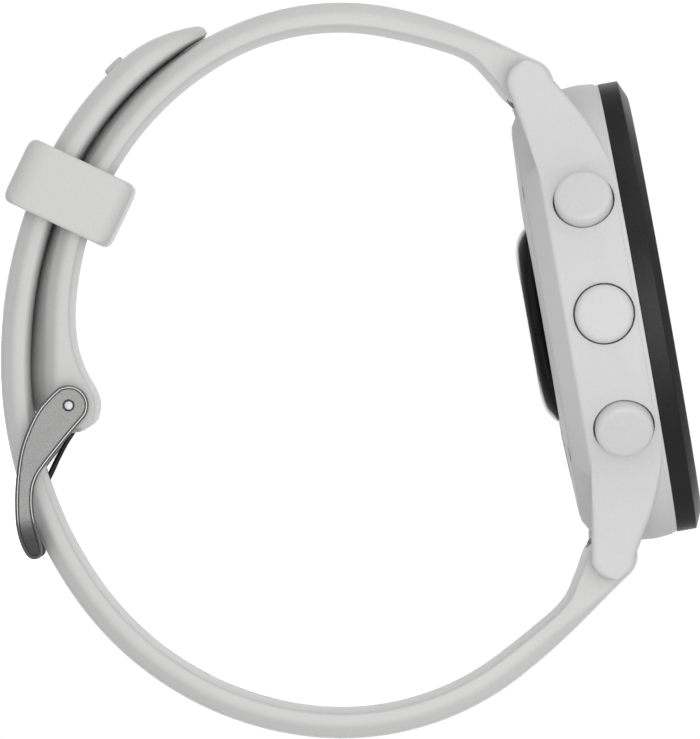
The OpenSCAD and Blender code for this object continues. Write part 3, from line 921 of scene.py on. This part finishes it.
@dataclass
class Route:
    """A band half's middle line: arcs that each have a length and a bend.

    Args:
        arcs: pairs of length in millimetres and bend towards the wrist in degrees.
        mirror: -1 for the half at 6 o'clock.
        start: Y, Z and heading in degrees where the line begins.
    """

    arcs: list
    mirror: int = 1
    start: tuple[float, float, float] = (23.38, 4.52, -54.4)

    @property
    def run(self) -> float:
        """Whole length."""
        return sum(a[0] for a in self.arcs)

    def put(self, s: np.ndarray, x: np.ndarray, h: np.ndarray) -> np.ndarray:
        """Places points at a run length, across and outwards.

        Along an arc of radius r from heading a to b, the middle line moves by r (sin a - sin b)
        in Y and r (cos b - cos a) in Z; the outward side is (-sin, cos) of the heading.

        Args:
            s: run length.
            x: distance across.
            h: distance outwards from the middle line.

        Returns:
            Points by 3.
        """
        s, x, h = np.broadcast_arrays(s, x, h)
        length, bend = np.array(self.arcs, float).T
        bend = np.radians(np.where(np.abs(bend) < 0.01, 0.01, bend))
        begin = np.concatenate([[0], np.cumsum(length)[:-1]])
        heading = math.radians(self.start[2]) - np.concatenate([[0], np.cumsum(bend)[:-1]])
        radius = length / bend
        after = heading - bend
        y0 = self.start[0] + np.concatenate(
            [[0], np.cumsum(radius * (np.sin(heading) - np.sin(after)))[:-1]])
        z0 = self.start[1] + np.concatenate(
            [[0], np.cumsum(radius * (np.cos(after) - np.cos(heading)))[:-1]])
        i = np.clip(np.searchsorted(begin, s, side="right") - 1, 0, len(length) - 1)
        now = heading[i] - (s - begin[i]) / radius[i]
        y = y0[i] + radius[i] * (np.sin(heading[i]) - np.sin(now)) - h * np.sin(now)
        z = z0[i] + radius[i] * (np.cos(now) - np.cos(heading[i])) + h * np.cos(now)
        return np.stack([x, y * self.mirror, z], axis=-1)


@dataclass
class BandHalf(Assembly):
    """What both band halves share: their section and the bored root that holds the bar."""

    width: float = 20.0
    root_r: float = 2.45
    bar_drop: float = 0.9

    def profile(self, s: np.ndarray, wide: np.ndarray, top: np.ndarray, low: np.ndarray,
                crown: np.ndarray) -> np.ndarray:
        """Cross-sections: a crown, a bevel, an upright side, a wrist edge and a lower crown.

        The outer crown falls from its middle by its height times k^2, with k from 0 in the
        middle to 1 at the bevel, and the lower crown by 0.4 k^2. The bevel comes in along the
        band's first centimetre, and all corners shrink where the band is thin.

        Args:
            s: run lengths.
            wide: half widths.
            top: outer heights at the bevel, less the plain crown.
            low: wrist-side heights.
            crown: height that the outer crown has above a plain one.

        Returns:
            Stations by points by 2, as across and outwards.
        """
        thick = top - low
        fit = np.clip(thick / 2.9, 0.02, 1)
        bevel = (0.35 + 0.65 * ease(s, 2.0, 10.0)) * fit
        side = 1.32 * bevel
        reach = wide - np.minimum(1.6 * bevel, wide * 0.6)
        lip = wide - 0.3 * fit
        right = [np.stack([reach * k, top + crown * (1 - k * k) - 0.28 * fit * k * k], 1)
                 for k in (0.0, 0.2, 0.4, 0.6, 0.8)]
        right += [np.stack([reach, top - 0.28 * fit], 1), np.stack([wide, top - side], 1),
                  np.stack([wide, low + 0.64 * fit], 1)]
        right += [np.stack([lip * k, low + 0.42 * fit * k * k], 1)
                  for k in (1.0, 0.75, 0.5, 0.25, 0.0)]
        half = np.stack(right, axis=1)
        reach_in = np.array([0, 0.2, 0.2, 0.2, 0.2, 0.35, 0.5, 0.1, 0.06, 0.3, 0.3, 0.3, 0])
        bent = soften(half, reach_in * fit[:, None], 6, closed=False)
        return np.concatenate([bent, bent[:, ::-1] * [-1, 1]], axis=1)

    def loft(self, route: Route, s: np.ndarray, wide: np.ndarray, top: np.ndarray,
             low: np.ndarray, crown: np.ndarray) -> Shell:
        """Carries the cross-section along the route.

        Args:
            route: the middle line.
            s: run lengths of the stations.
            wide: half widths there.
            top: outer heights there.
            low: wrist-side heights there.
            crown: extra height of the outer crown there.

        Returns:
            The capped shell.
        """
        outline = self.profile(s, wide, top, low, crown)
        points = route.put(s[:, None], outline[..., 0], outline[..., 1])
        return Shell(points, caps=True)

    def root(self, s: np.ndarray, top: np.ndarray,
             low: np.ndarray) -> tuple[np.ndarray, np.ndarray]:
        """Swells the heights round the spring bar, as the circle -0.9 +- sqrt(r^2 - s^2).

        Args:
            s: run lengths, starting one root radius before the bar.
            top: outer heights without the root.
            low: wrist-side heights without it.

        Returns:
            Outer and wrist-side heights.
        """
        bow = np.sqrt(np.maximum(self.root_r ** 2 - s ** 2, 1e-6))
        heel = curve(s, [(0, -3.35), (1, -3.36), (1.9, -3.05), (3, -2.5), (4.1, -2.05),
                         (5.0, -1.66), (6.1, -1.38), (7.1, -1.3), (10, -1.38), (14, -1.5)])
        top = np.where(s < 0, -self.bar_drop + bow, np.where(s < 2, 1.55 - 0.025 * s, top))
        low = np.where(s < 0, -self.bar_drop - bow, np.where(s < 14, heel, low))
        return top, low

    def root_stations(self) -> np.ndarray:
        """Run lengths round the root and along the first centimetre and a half."""
        turn = np.linspace(0, np.pi / 2, 14)[:-1]
        return np.concatenate([-self.root_r * np.cos(turn), np.linspace(0, 14, 44)])

    def slot_cutter(self, side: int) -> Shell:
        """Slot that the release knob slides in, as a slanted box on the wrist side.

        Args:
            side: 1 at 12 o'clock, -1 at 6 o'clock.

        Returns:
            The cutter.
        """
        a = math.radians(KNOB_TILT)
        along, across = np.array([math.sin(a), math.cos(a)]), np.array([math.cos(a), -math.sin(a)])
        middle = np.array(BAR)
        outline = np.stack([middle + across * p + along * q
                            for p, q in ((-0.75, 0.5), (0.75, 0.5), (0.75, 4), (-0.75, 4))])
        outline[:, 0] *= side
        return plate(outline, [(-6.6, 0), (-3.0, 0)])


@dataclass
class UpperStrap(BandHalf):
    """The half at 12 o'clock, which ends in the eye that holds the buckle."""

    route: Route = field(default_factory=lambda: Route(
        [[4.5, 0], [10, 13.8], [17.1, 42.3], [18.6, 35.6], [20.3, 38.6]]))

    def build(self) -> None:
        """Lofts the half and cuts the tang's notch and the slot for the knob."""
        run = self.route.run
        s = np.concatenate([self.root_stations(), np.linspace(14.4, run - 12, 64),
                            np.linspace(run - 11.6, run, 30),
                            run + 2.7 * np.sin(np.linspace(0.1, np.pi / 2, 16))])
        u = s - run
        top = curve(u, [(-60, 1.5), (-12, 1.5), (-5, 1.68), (-2, 2.1), (0, 2.3), (1.3, 1.95),
                        (2.2, 1.15), (2.6, 0.3), (2.7, -0.25)])
        low = curve(u, [(-60, -1.5), (-12, -1.5), (-8, -1.53), (-5.1, -1.77), (-3.72, -2.04),
                        (-2.15, -2.44), (-0.75, -2.84), (0.1, -2.92), (0.8, -2.82), (1.7, -2.42),
                        (2.3, -1.85), (2.6, -0.95), (2.7, -0.3)])
        top, low = self.root(s, top, low)
        crown = curve(s, [(0, 0.0), (29, 0.0), (33, 0.16), (36, 0.3), (39, 0.4), (43, 0.48),
                          (49, 0.54), (53, 0.57), (57, 0.7), (61, 0.95), (65, 1.3), (68, 1.5),
                          (69.5, 1.3), (run + 1.5, 0.3), (run + 2.7, 0.0)])
        strap = make_piece("upper_strap", [
            self.loft(self.route, s, np.full_like(s, self.width / 2), top, low, crown)], 42)
        notch = block((-1.5, 1.5), (-9.0, 2.76), (-50, -39.5))
        combine(strap, [notch], Join.CUT, 42)
        combine(strap, [self.slot_cutter(1)], Join.CUT, 42)
        self.settle(strap, SILICONE, "band_silicone", "upper_band", "upper_strap")


@dataclass
class LowerStrap(BandHalf):
    """The half at 6 o'clock, with the adjustment holes and the tail."""

    route: Route = field(default_factory=lambda: Route(
        [[5.5, 0], [8.4, 7.2], [20, 44.2], [25.3, 48.6], [20.7, 32], [19.9, 27.2],
         [21.15, 38.4]], -1))
    first_hole: float = 40.4
    pitch: float = 7.2
    holes: int = 10
    hole_l: float = 5.45
    hole_w: float = 2.6
    grip_s: float = 112.0

    def hole_cutters(self) -> list[Shell]:
        """Long holes with a small flare at both faces: two half circles joined by straights.

        Returns:
            One cutter for each hole.
        """
        a = np.linspace(0, 2 * np.pi, 40, endpoint=False)
        stretch = (self.hole_l - self.hole_w) / 2
        levels = np.array([(-3, 0.2), (-1.52, 0.2), (-1.3, 0.0), (1.3, 0.0), (1.52, 0.2),
                           (3, 0.2)])
        wide = self.hole_w / 2 + levels[:, 1:2]
        x, along = wide * np.cos(a), wide * np.sin(a) + stretch * np.sign(np.round(np.sin(a), 6))
        return [Shell(self.route.put(self.first_hole + k * self.pitch + along, x, levels[:, 0:1]),
                      caps=True) for k in range(self.holes)]

    def grip(self) -> Shell:
        """Low raised bar near the tip, a rounded rectangle that narrows upwards.

        Returns:
            The capped shell.
        """
        corners = np.array([[-5, -1], [5, -1], [5, 1], [-5, 1]], float)
        plan = soften(corners, np.full(4, 0.8), 8)
        rows = [inset(plan, d) for d in (0, 0, 0.06, 0.22)]
        x, along = np.stack(rows)[..., 0], np.stack(rows)[..., 1]
        high = np.array([[1.2], [1.66], [1.78], [1.84]])
        return Shell(self.route.put(self.grip_s + along, x, high), caps=True)

    def build(self) -> None:
        """Lofts the half, then cuts its holes and the slot for the knob."""
        run = self.route.run
        s = np.concatenate([self.root_stations(), np.linspace(14.4, run - 9, 150),
                            run - 9 + 8.96 * np.sin(np.linspace(0.03, np.pi / 2, 40))])
        left = run - s
        tip = np.sqrt(np.clip(1 - ((0.7 - left) / 0.7).clip(0, 0.999) ** 2, 0.0005, 1))
        wide = self.width / 2 * np.sqrt(1 - 0.88 * np.clip(1 - left / 8, 0, 1) ** 2)
        wide = wide - 1.0 * (1 - tip)
        taper = np.clip(1 - left / 7.5, 0, 1) ** 1.6
        half, middle = 1.485 - 0.925 * taper, -0.88 * taper
        top, low = self.root(s, half * tip + middle, -half * tip + middle)
        strap = make_piece("lower_strap", [self.loft(self.route, s, wide, top, low, 0 * s)], 42)
        combine(strap, [self.grip()], Join.ADD, 42)
        combine(strap, self.hole_cutters(), Join.CUT, 42)
        combine(strap, [self.slot_cutter(-1)], Join.CUT, 42)
        self.settle(strap, SILICONE, "band_silicone", "lower_band", "lower_strap")


@dataclass
class ReleasePins(Assembly):
    """The sliding pins of the two spring bars, each with the knob that draws it back."""

    tip_r: float = 0.4
    stem_r: float = 0.46
    knob_x: float = -5.5

    def build(self) -> None:
        """Turns a stepped pin along X and a domed knob square to it, and joins the two."""
        r, tip = self.stem_r, self.tip_r
        stem = rounded([(0, -11.2, 0.0), (tip, -11.2, 0.12), (tip, -9.6, 0.05), (r, -9.6, 0.05),
                        (r, -3.2, 0.1), (0, -3.2, 0.0)], 5)
        knob = rounded([(0, 0.0, 0.0), (0.4, 0.0, 0.02), (0.4, 1.95, 0.02), (0.66, 1.95, 0.08),
                        (0.66, 2.45, 0.2), (0.35, 2.72, 0.2), (0, 2.76, 0.0)], 6)
        a = math.radians(KNOB_TILT)
        for name, side in (("upper", 1), ("lower", -1)):
            y, z = side * BAR[0], BAR[1]
            pin = make_piece(f"{name}_knob_pin", [revolve(stem, 48, (1, 0, 0), (0, y, z))], 35)
            way = (0, side * math.sin(a), math.cos(a))
            combine(pin, [revolve(knob, 48, way, (self.knob_x, y, z))], Join.ADD, 35)
            self.settle(pin, STEEL, "bright_steel", f"{name}_release", f"{name}_release_pin")


@dataclass
class Keeper(Assembly):
    """The loop that holds the tail down."""

    axis: tuple[float, float] = (-0.95, -10.85)
    arc: float = 36.3
    angle: float = 35.4
    outer: tuple[float, float] = (23.8, 11.0)
    inner: tuple[float, float] = (20.7, 7.6)
    length: float = 6.5
    end_round: float = 1.25
    side_round: float = 0.35

    def build(self) -> None:
        """Sweeps the wall round the loop, with its rims rounder above and below.

        The wall at a place on the loop runs from the inner to the outer rounded rectangle; its
        section is a rectangle as long as the keeper with four rounded corners.
        """
        def loop(size: tuple[float, float], wrist: float, away: float) -> np.ndarray:
            """Draws a centred rounded rectangle, two corners to each side of the band.

            Args:
                size: its width and height.
                wrist: setback of the corners on the wrist side.
                away: setback of the corners on the outer side.

            Returns:
                The outline, points by 2.
            """
            w, h = size[0] / 2, size[1] / 2
            corners = np.array([[w, -h], [w, 0], [w, h], [0, h],
                                [-w, h], [-w, 0], [-w, -h], [0, -h]])
            return soften(corners, np.array([wrist, 0, away, 0, away, 0, wrist, 0]), 14)

        inside, outside = loop(self.inner, 0.7, 0.7), loop(self.outer, 2.0, 3.2)
        gap = outside - inside
        thick = np.linalg.norm(gap, axis=1)
        upright = ease(np.abs(outside[:, 1]), self.outer[1] / 2 - 1.3, self.outer[1] / 2 - 0.05)
        rim = self.side_round + (self.end_round - self.side_round) * upright
        half = np.full_like(thick, self.length / 2)
        corners = np.stack([np.stack([-half, 0 * half], 1), np.stack([-half, thick], 1),
                            np.stack([half, thick], 1), np.stack([half, 0 * half], 1)], axis=1)
        inner_rim = np.full_like(thick, 0.25)
        section = soften(corners, np.stack([inner_rim, rim, rim, inner_rim], axis=1), 12)
        spot = inside[:, None, :] + gap[:, None, :] * (section[..., 1] / thick[:, None])[..., None]
        a = math.radians(self.angle - 90)
        out = spot[..., 1] + self.arc
        y = self.axis[0] + out * math.cos(a) - section[..., 0] * math.sin(a)
        z = self.axis[1] + out * math.sin(a) + section[..., 0] * math.cos(a)
        shell = Shell(np.stack([spot[..., 0], y, z], axis=-1), wrap_rows=True)
        self.settle(make_piece("keeper", [shell]), SILICONE, "band_silicone", "keeper",
                    "keeper_loop")


@dataclass
class Buckle(Assembly):
    """The buckle's two arms with their bead and end bar, the pin through their eyes, the tang."""

    pin: tuple[float, float] = (0.36, -43.99)
    pin_r: float = 0.5
    eye_r: float = 1.9
    inside: float = 10.35
    outside: float = 11.9
    bend: tuple[float, float, float] = (-8.4, -13.5, 0.09)
    edge: list = field(default_factory=lambda: [
        (-2.5, -44.5), (-3.8, -46.0), (-4.7, -47.0), (-5.6, -47.9), (-6.6, -48.5), (-8, -48.87),
        (-9.6, -48.97), (-11.2, -48.85), (-12.5, -48.78), (-13.12, -48.95), (-13.36, -49.4),
        (-13.33, -49.9), (-13.0, -50.3), (-12.3, -50.6), (-11.3, -50.79), (-10.2, -50.84),
        (-9, -50.75), (-7, -50.42), (-5, -49.9), (-3, -49.2), (-1.2, -48.2), (0.45, -46.95),
        (1.45, -45.75)])
    tang_edge: list = field(default_factory=lambda: [
        (1.5, -43.5), (0.6, -42.78), (-0.6, -42.9), (-2.0, -43.6), (-3.3, -44.75), (-4.6, -45.75),
        (-6.1, -46.8), (-7.6, -48.1), (-9.0, -49.4), (-10.1, -50.12), (-11.2, -50.18),
        (-12.2, -50.16), (-12.4, -50.45), (-12.0, -50.72), (-10.8, -50.8), (-9.6, -50.7),
        (-8.5, -49.9), (-7.2, -48.6), (-5.8, -47.45), (-4.2, -46.3), (-2.8, -45.2), (-1.4, -44.85),
        (0.0, -45.15), (1.1, -44.8), (1.6, -44.1)])

    def outline(self) -> np.ndarray:
        """Arm seen along X: the eye's circle, then the swept arm and its blunt end.

        Returns:
            The outline, points by 2.
        """
        a = np.radians(np.linspace(-22, 148, 12))
        eye = np.array(self.pin) + self.eye_r * np.stack([np.cos(a), np.sin(a)], 1)
        return flowing(eye.tolist() + self.edge, 6)

    def build(self) -> None:
        """Stacks each arm from its inner face to a bevelled outer face and joins the end bar."""
        outline = self.outline()
        x = self.outside
        right = plate(outline, [
            (self.inside, 0.12), (self.inside + 0.1, 0.0), (x - 0.34, 0.0), (x - 0.25, 0.03),
            (x - 0.2, 0.1), (x - 0.2, 0.37), (x - 0.03, 0.38), (x, 0.41), (x, 0.55)])
        bead = plate(outline, [(x - 0.24, 0.1), (x - 0.1, 0.09), (x - 0.04, 0.14),
                               (x - 0.02, 0.23), (x - 0.05, 0.3), (x - 0.12, 0.34),
                               (x - 0.24, 0.34)])
        edging = Shell(bead.points, wrap_rows=True)
        bright = make_piece("buckle_edging", [edging, edging.mirrored(0)], 50)
        curl(bright, *self.bend, 50)
        self.settle(bright, STEEL, "buckle_metal", "buckle")
        buckle = make_piece("buckle", [right, right.mirrored(0)], 30)
        curl(buckle, *self.bend, 30)
        bar = soften(np.array([[-10, -50.8], [-11.5, -50.74], [-13.1, -50.22], [-13.32, -49.75],
                               [-12.4, -49.35], [-10.4, -49.75], [-9.7, -50.2]]),
                     np.full(7, 0.3), 5)
        combine(buckle, [plate(bar, [(-9.0, 0), (9.0, 0)])], Join.ADD, 30)
        cuts = [block((-1.2, 1.2), (-12.6, -8.6), (-52, -50.02)),
                rod((-13, 13), self.pin_r + 0.07, *self.pin)]
        combine(buckle, cuts, Join.CUT, 30)
        self.settle(buckle, SATIN, "buckle_metal", "buckle", "buckle_frame")
        r, x = self.pin_r, self.outside
        profile = rounded([(0, -x, 0.0), (r - 0.1, -x + 0.02, 0.08), (r, -x + 0.12, 0.05),
                           (r, x - 0.12, 0.05), (r - 0.1, x - 0.02, 0.08), (0, x, 0.0)], 5)
        pin = revolve(profile, 48, (1, 0, 0), (0, *self.pin))
        self.settle(make_piece("buckle_pin", [pin]), PIN, "bright_steel", "buckle", "buckle_pin")
        tang = plate(flowing(self.tang_edge, 5), [
            (-1.0, 0.26), (-0.95, 0.14), (-0.85, 0.09), (0.85, 0.09), (0.95, 0.14), (1.0, 0.26)])
        self.settle(make_piece("tang", [tang], 30), DARK, "tang_metal", "tang", "buckle_tang")


@dataclass
class Dial(Assembly):
    """Generic numbers on the display."""

    face_z: float = 11.72
    rows: tuple = (("10:08", 6.6, 1.1, "E8ECEF"), ("12", 2.0, 10.2, "AEB6BC"),
                   ("6", 2.0, -10.2, "AEB6BC"), ("7:24", 2.7, -4.8, "2BB7D8"),
                   ("142", 2.7, 6.9, "8CCB5A"))

    def build(self) -> None:
        """Sets each number as thin flat figures just above the display."""
        for k, (words, size, y, code) in enumerate(self.rows):
            text = bpy.data.curves.new(f"figures_{k}", "FONT")
            text.body, text.size, text.extrude = words, size * MM, 0.01 * MM
            text.align_x, text.align_y = "CENTER", "CENTER"
            loose = bpy.data.objects.new(f"loose_{k}", text)
            bpy.context.scene.collection.objects.link(loose)
            bpy.context.view_layer.update()
            seen = loose.evaluated_get(bpy.context.evaluated_depsgraph_get())
            mesh = bpy.data.meshes.new_from_object(seen)
            mesh.transform(Matrix.Translation((0, y * MM, (self.face_z + 0.02) * MM)))
            bpy.data.objects.remove(loose)
            piece = bpy.data.objects.new(f"dial_figures_{k}", mesh)
            bpy.context.scene.collection.objects.link(piece)
            work = bmesh.new()
            work.from_mesh(mesh)
            bmesh.ops.remove_doubles(work, verts=work.verts, dist=MERGE / 10)
            bmesh.ops.recalc_face_normals(work, faces=work.faces)
            work.to_mesh(mesh)
            work.free()
            self.settle(piece, Figure(f"figure_{k}", code), "display_dark", "head")


@dataclass(frozen=True)
class Figure:
    """Lit figures of one colour, a little uneven as a reflective display is.

    Args:
        name: the material's name.
        code: screen colour.
    """

    name: str
    code: str

    @functools.cache
    def material(self) -> bpy.types.Material:
        """Builds the lit colour with a fine dot pattern.

        Returns:
            The material.
        """
        g = Graph(bpy.data.materials.new(self.name))
        dots = g.noise(g.place(), 6.0, 1.0)
        colour = g.blend(dots * 0.4, tone(self.code), tone("606468"))
        return g.finish({"Base Color": colour, "Roughness": 0.4, "Emission Color": colour,
                         "Emission Strength": 0.7})


@dataclass
class CarriedOver(Assembly):
    """CAD nodes that keep their shape and get their finish from their material slot."""

    def build(self) -> None:
        """Gives each shown node the finish of its slot."""
        slots = {p["node"]: p["material_slot"] for p in frame["record"]["subparts"]}
        for name, node in sorted(frame["nodes"].items()):
            if node.hide_render:
                continue
            finish = INNER.get(slots.get(name, ""), INNER["frame_grey"])
            if not node.material_slots:
                node.data.materials.append(finish.material())
            for place in node.material_slots:
                place.material = finish.material()
            LOG.info("%s keeps its shape, in %s", name, finish.name)


@dataclass
class Studio:
    """Pale floor, soft lights and the camera."""

    aim: tuple[float, float, float] = (0.0, -0.00096, -0.01731)
    far: float = 2.0
    lean: float = 10.1
    frame_w: float = 0.06629
    sensor_w: float = 36.0
    sides: float = 0.6
    ends: float = 0.3
    gloss_share: float = 0.28
    backdrop: float = 1.05
    floor_half: float = 0.16
    floor_gap: float = 0.0004
    lamps: tuple = (("front_light", (-0.95, -0.1, 0.12), 0.8, 3.15),
                    ("top_light", (-0.15, 0.8, 0.4), 0.7, 0.9),
                    ("back_light", (0.9, 0.05, 0.05), 0.8, 2.6))

    def floor(self) -> None:
        """Lays a plain pale floor just under the band."""
        half, z = self.floor_half, cad_box[0][2] - self.floor_gap
        mesh = bpy.data.meshes.new("floor")
        mesh.from_pydata([(-half, -half, z), (half, -half, z), (half, half, z), (-half, half, z)],
                         [], [(0, 1, 2, 3)])
        g = Graph(bpy.data.materials.new("pale_floor"))
        haze = g.noise(g.place(), 0.02)
        colour = g.blend(haze, tone("F4F4F4"), tone("FFFFFF"))
        mesh.materials.append(g.finish({"Base Color": colour, "Roughness": 0.9,
                                        "Emission Color": (1, 1, 1, 1), "Emission Strength": 0.9}))
        plane = bpy.data.objects.new("floor", mesh)
        plane.visible_diffuse = plane.visible_glossy = False
        bpy.context.scene.collection.objects.link(plane)

    def lamp(self, name: str, place: tuple[float, float, float], size: float,
             power: float) -> None:
        """Hangs one square soft light that points at the watch.

        Args:
            name: the light's name.
            place: where it hangs, in metres.
            size: its side.
            power: its power in watts.
        """
        light = bpy.data.lights.new(name, "AREA")
        light.shape, light.size, light.energy = "SQUARE", size, power
        hung = bpy.data.objects.new(name, light)
        hung.location = place
        way = Vector(self.aim) - Vector(place)
        hung.rotation_euler = way.to_track_quat("-Z", "Y").to_euler()
        bpy.context.scene.collection.objects.link(hung)

    def world(self) -> None:
        """White surroundings that light the watch less than they look, most along X.

        Their light in a direction is sides + ends x^2, with x its part along X, and gloss
        sees a share of it, as it would of a darker room.
        """
        made = bpy.data.worlds.new("surroundings")
        bpy.context.scene.world = made
        g = Graph(made)
        x = g.parts(g.node("ShaderNodeTexCoord", out="Generated"))[0]
        gloss = g.node("ShaderNodeLightPath", out="Is Glossy Ray")
        seen = g.node("ShaderNodeLightPath", out="Is Camera Ray")
        light = (x * x * self.ends + self.sides) * (gloss * (self.gloss_share - 1) + 1)
        strength = seen * (self.backdrop - light) + light
        back = g.node("ShaderNodeBackground",
                      inputs={"Color": (1, 1, 1, 1), "Strength": strength})
        g.node("ShaderNodeOutputWorld", inputs={"Surface": back}, out=None)

    def camera(self) -> None:
        """Stands a long lens at the 9 o'clock side, with 12 o'clock up and leaning."""
        lean = math.radians(self.lean)
        right = Vector((0, -math.sin(lean), math.cos(lean)))
        up = Vector((0, math.cos(lean), math.sin(lean)))
        back = right.cross(up)
        turn = Matrix((right, up, back)).transposed().to_4x4()
        lens = bpy.data.cameras.new("camera")
        lens.sensor_fit, lens.sensor_width = "HORIZONTAL", self.sensor_w
        lens.lens = self.sensor_w * self.far / self.frame_w
        lens.clip_start, lens.clip_end = 0.05, 20
        eye = bpy.data.objects.new("camera", lens)
        eye.matrix_world = Matrix.Translation(Vector(self.aim) + back * self.far) @ turn
        bpy.context.scene.collection.objects.link(eye)
        bpy.context.scene.camera = eye

    def build(self) -> None:
        """Sets up the stage."""
        bpy.context.scene.view_settings.view_transform = "Standard"
        self.camera()
        self.floor()
        self.world()
        for lamp in self.lamps:
            self.lamp(*lamp)


def main() -> None:
    """Builds the watch and its stage in order."""
    logging.basicConfig(level=logging.INFO, format="%(name)s %(message)s")
    Studio().build()
    buttons = PushButtons()
    WatchCase().build(buttons.angles, buttons.height, buttons.gap_r)
    buttons.build()
    UpperStrap().build()
    LowerStrap().build()
    ReleasePins().build()
    Keeper().build()
    Buckle().build()
    Dial().build()
    CarriedOver().build()
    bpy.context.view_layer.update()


if __name__ == "__main__":
    main()
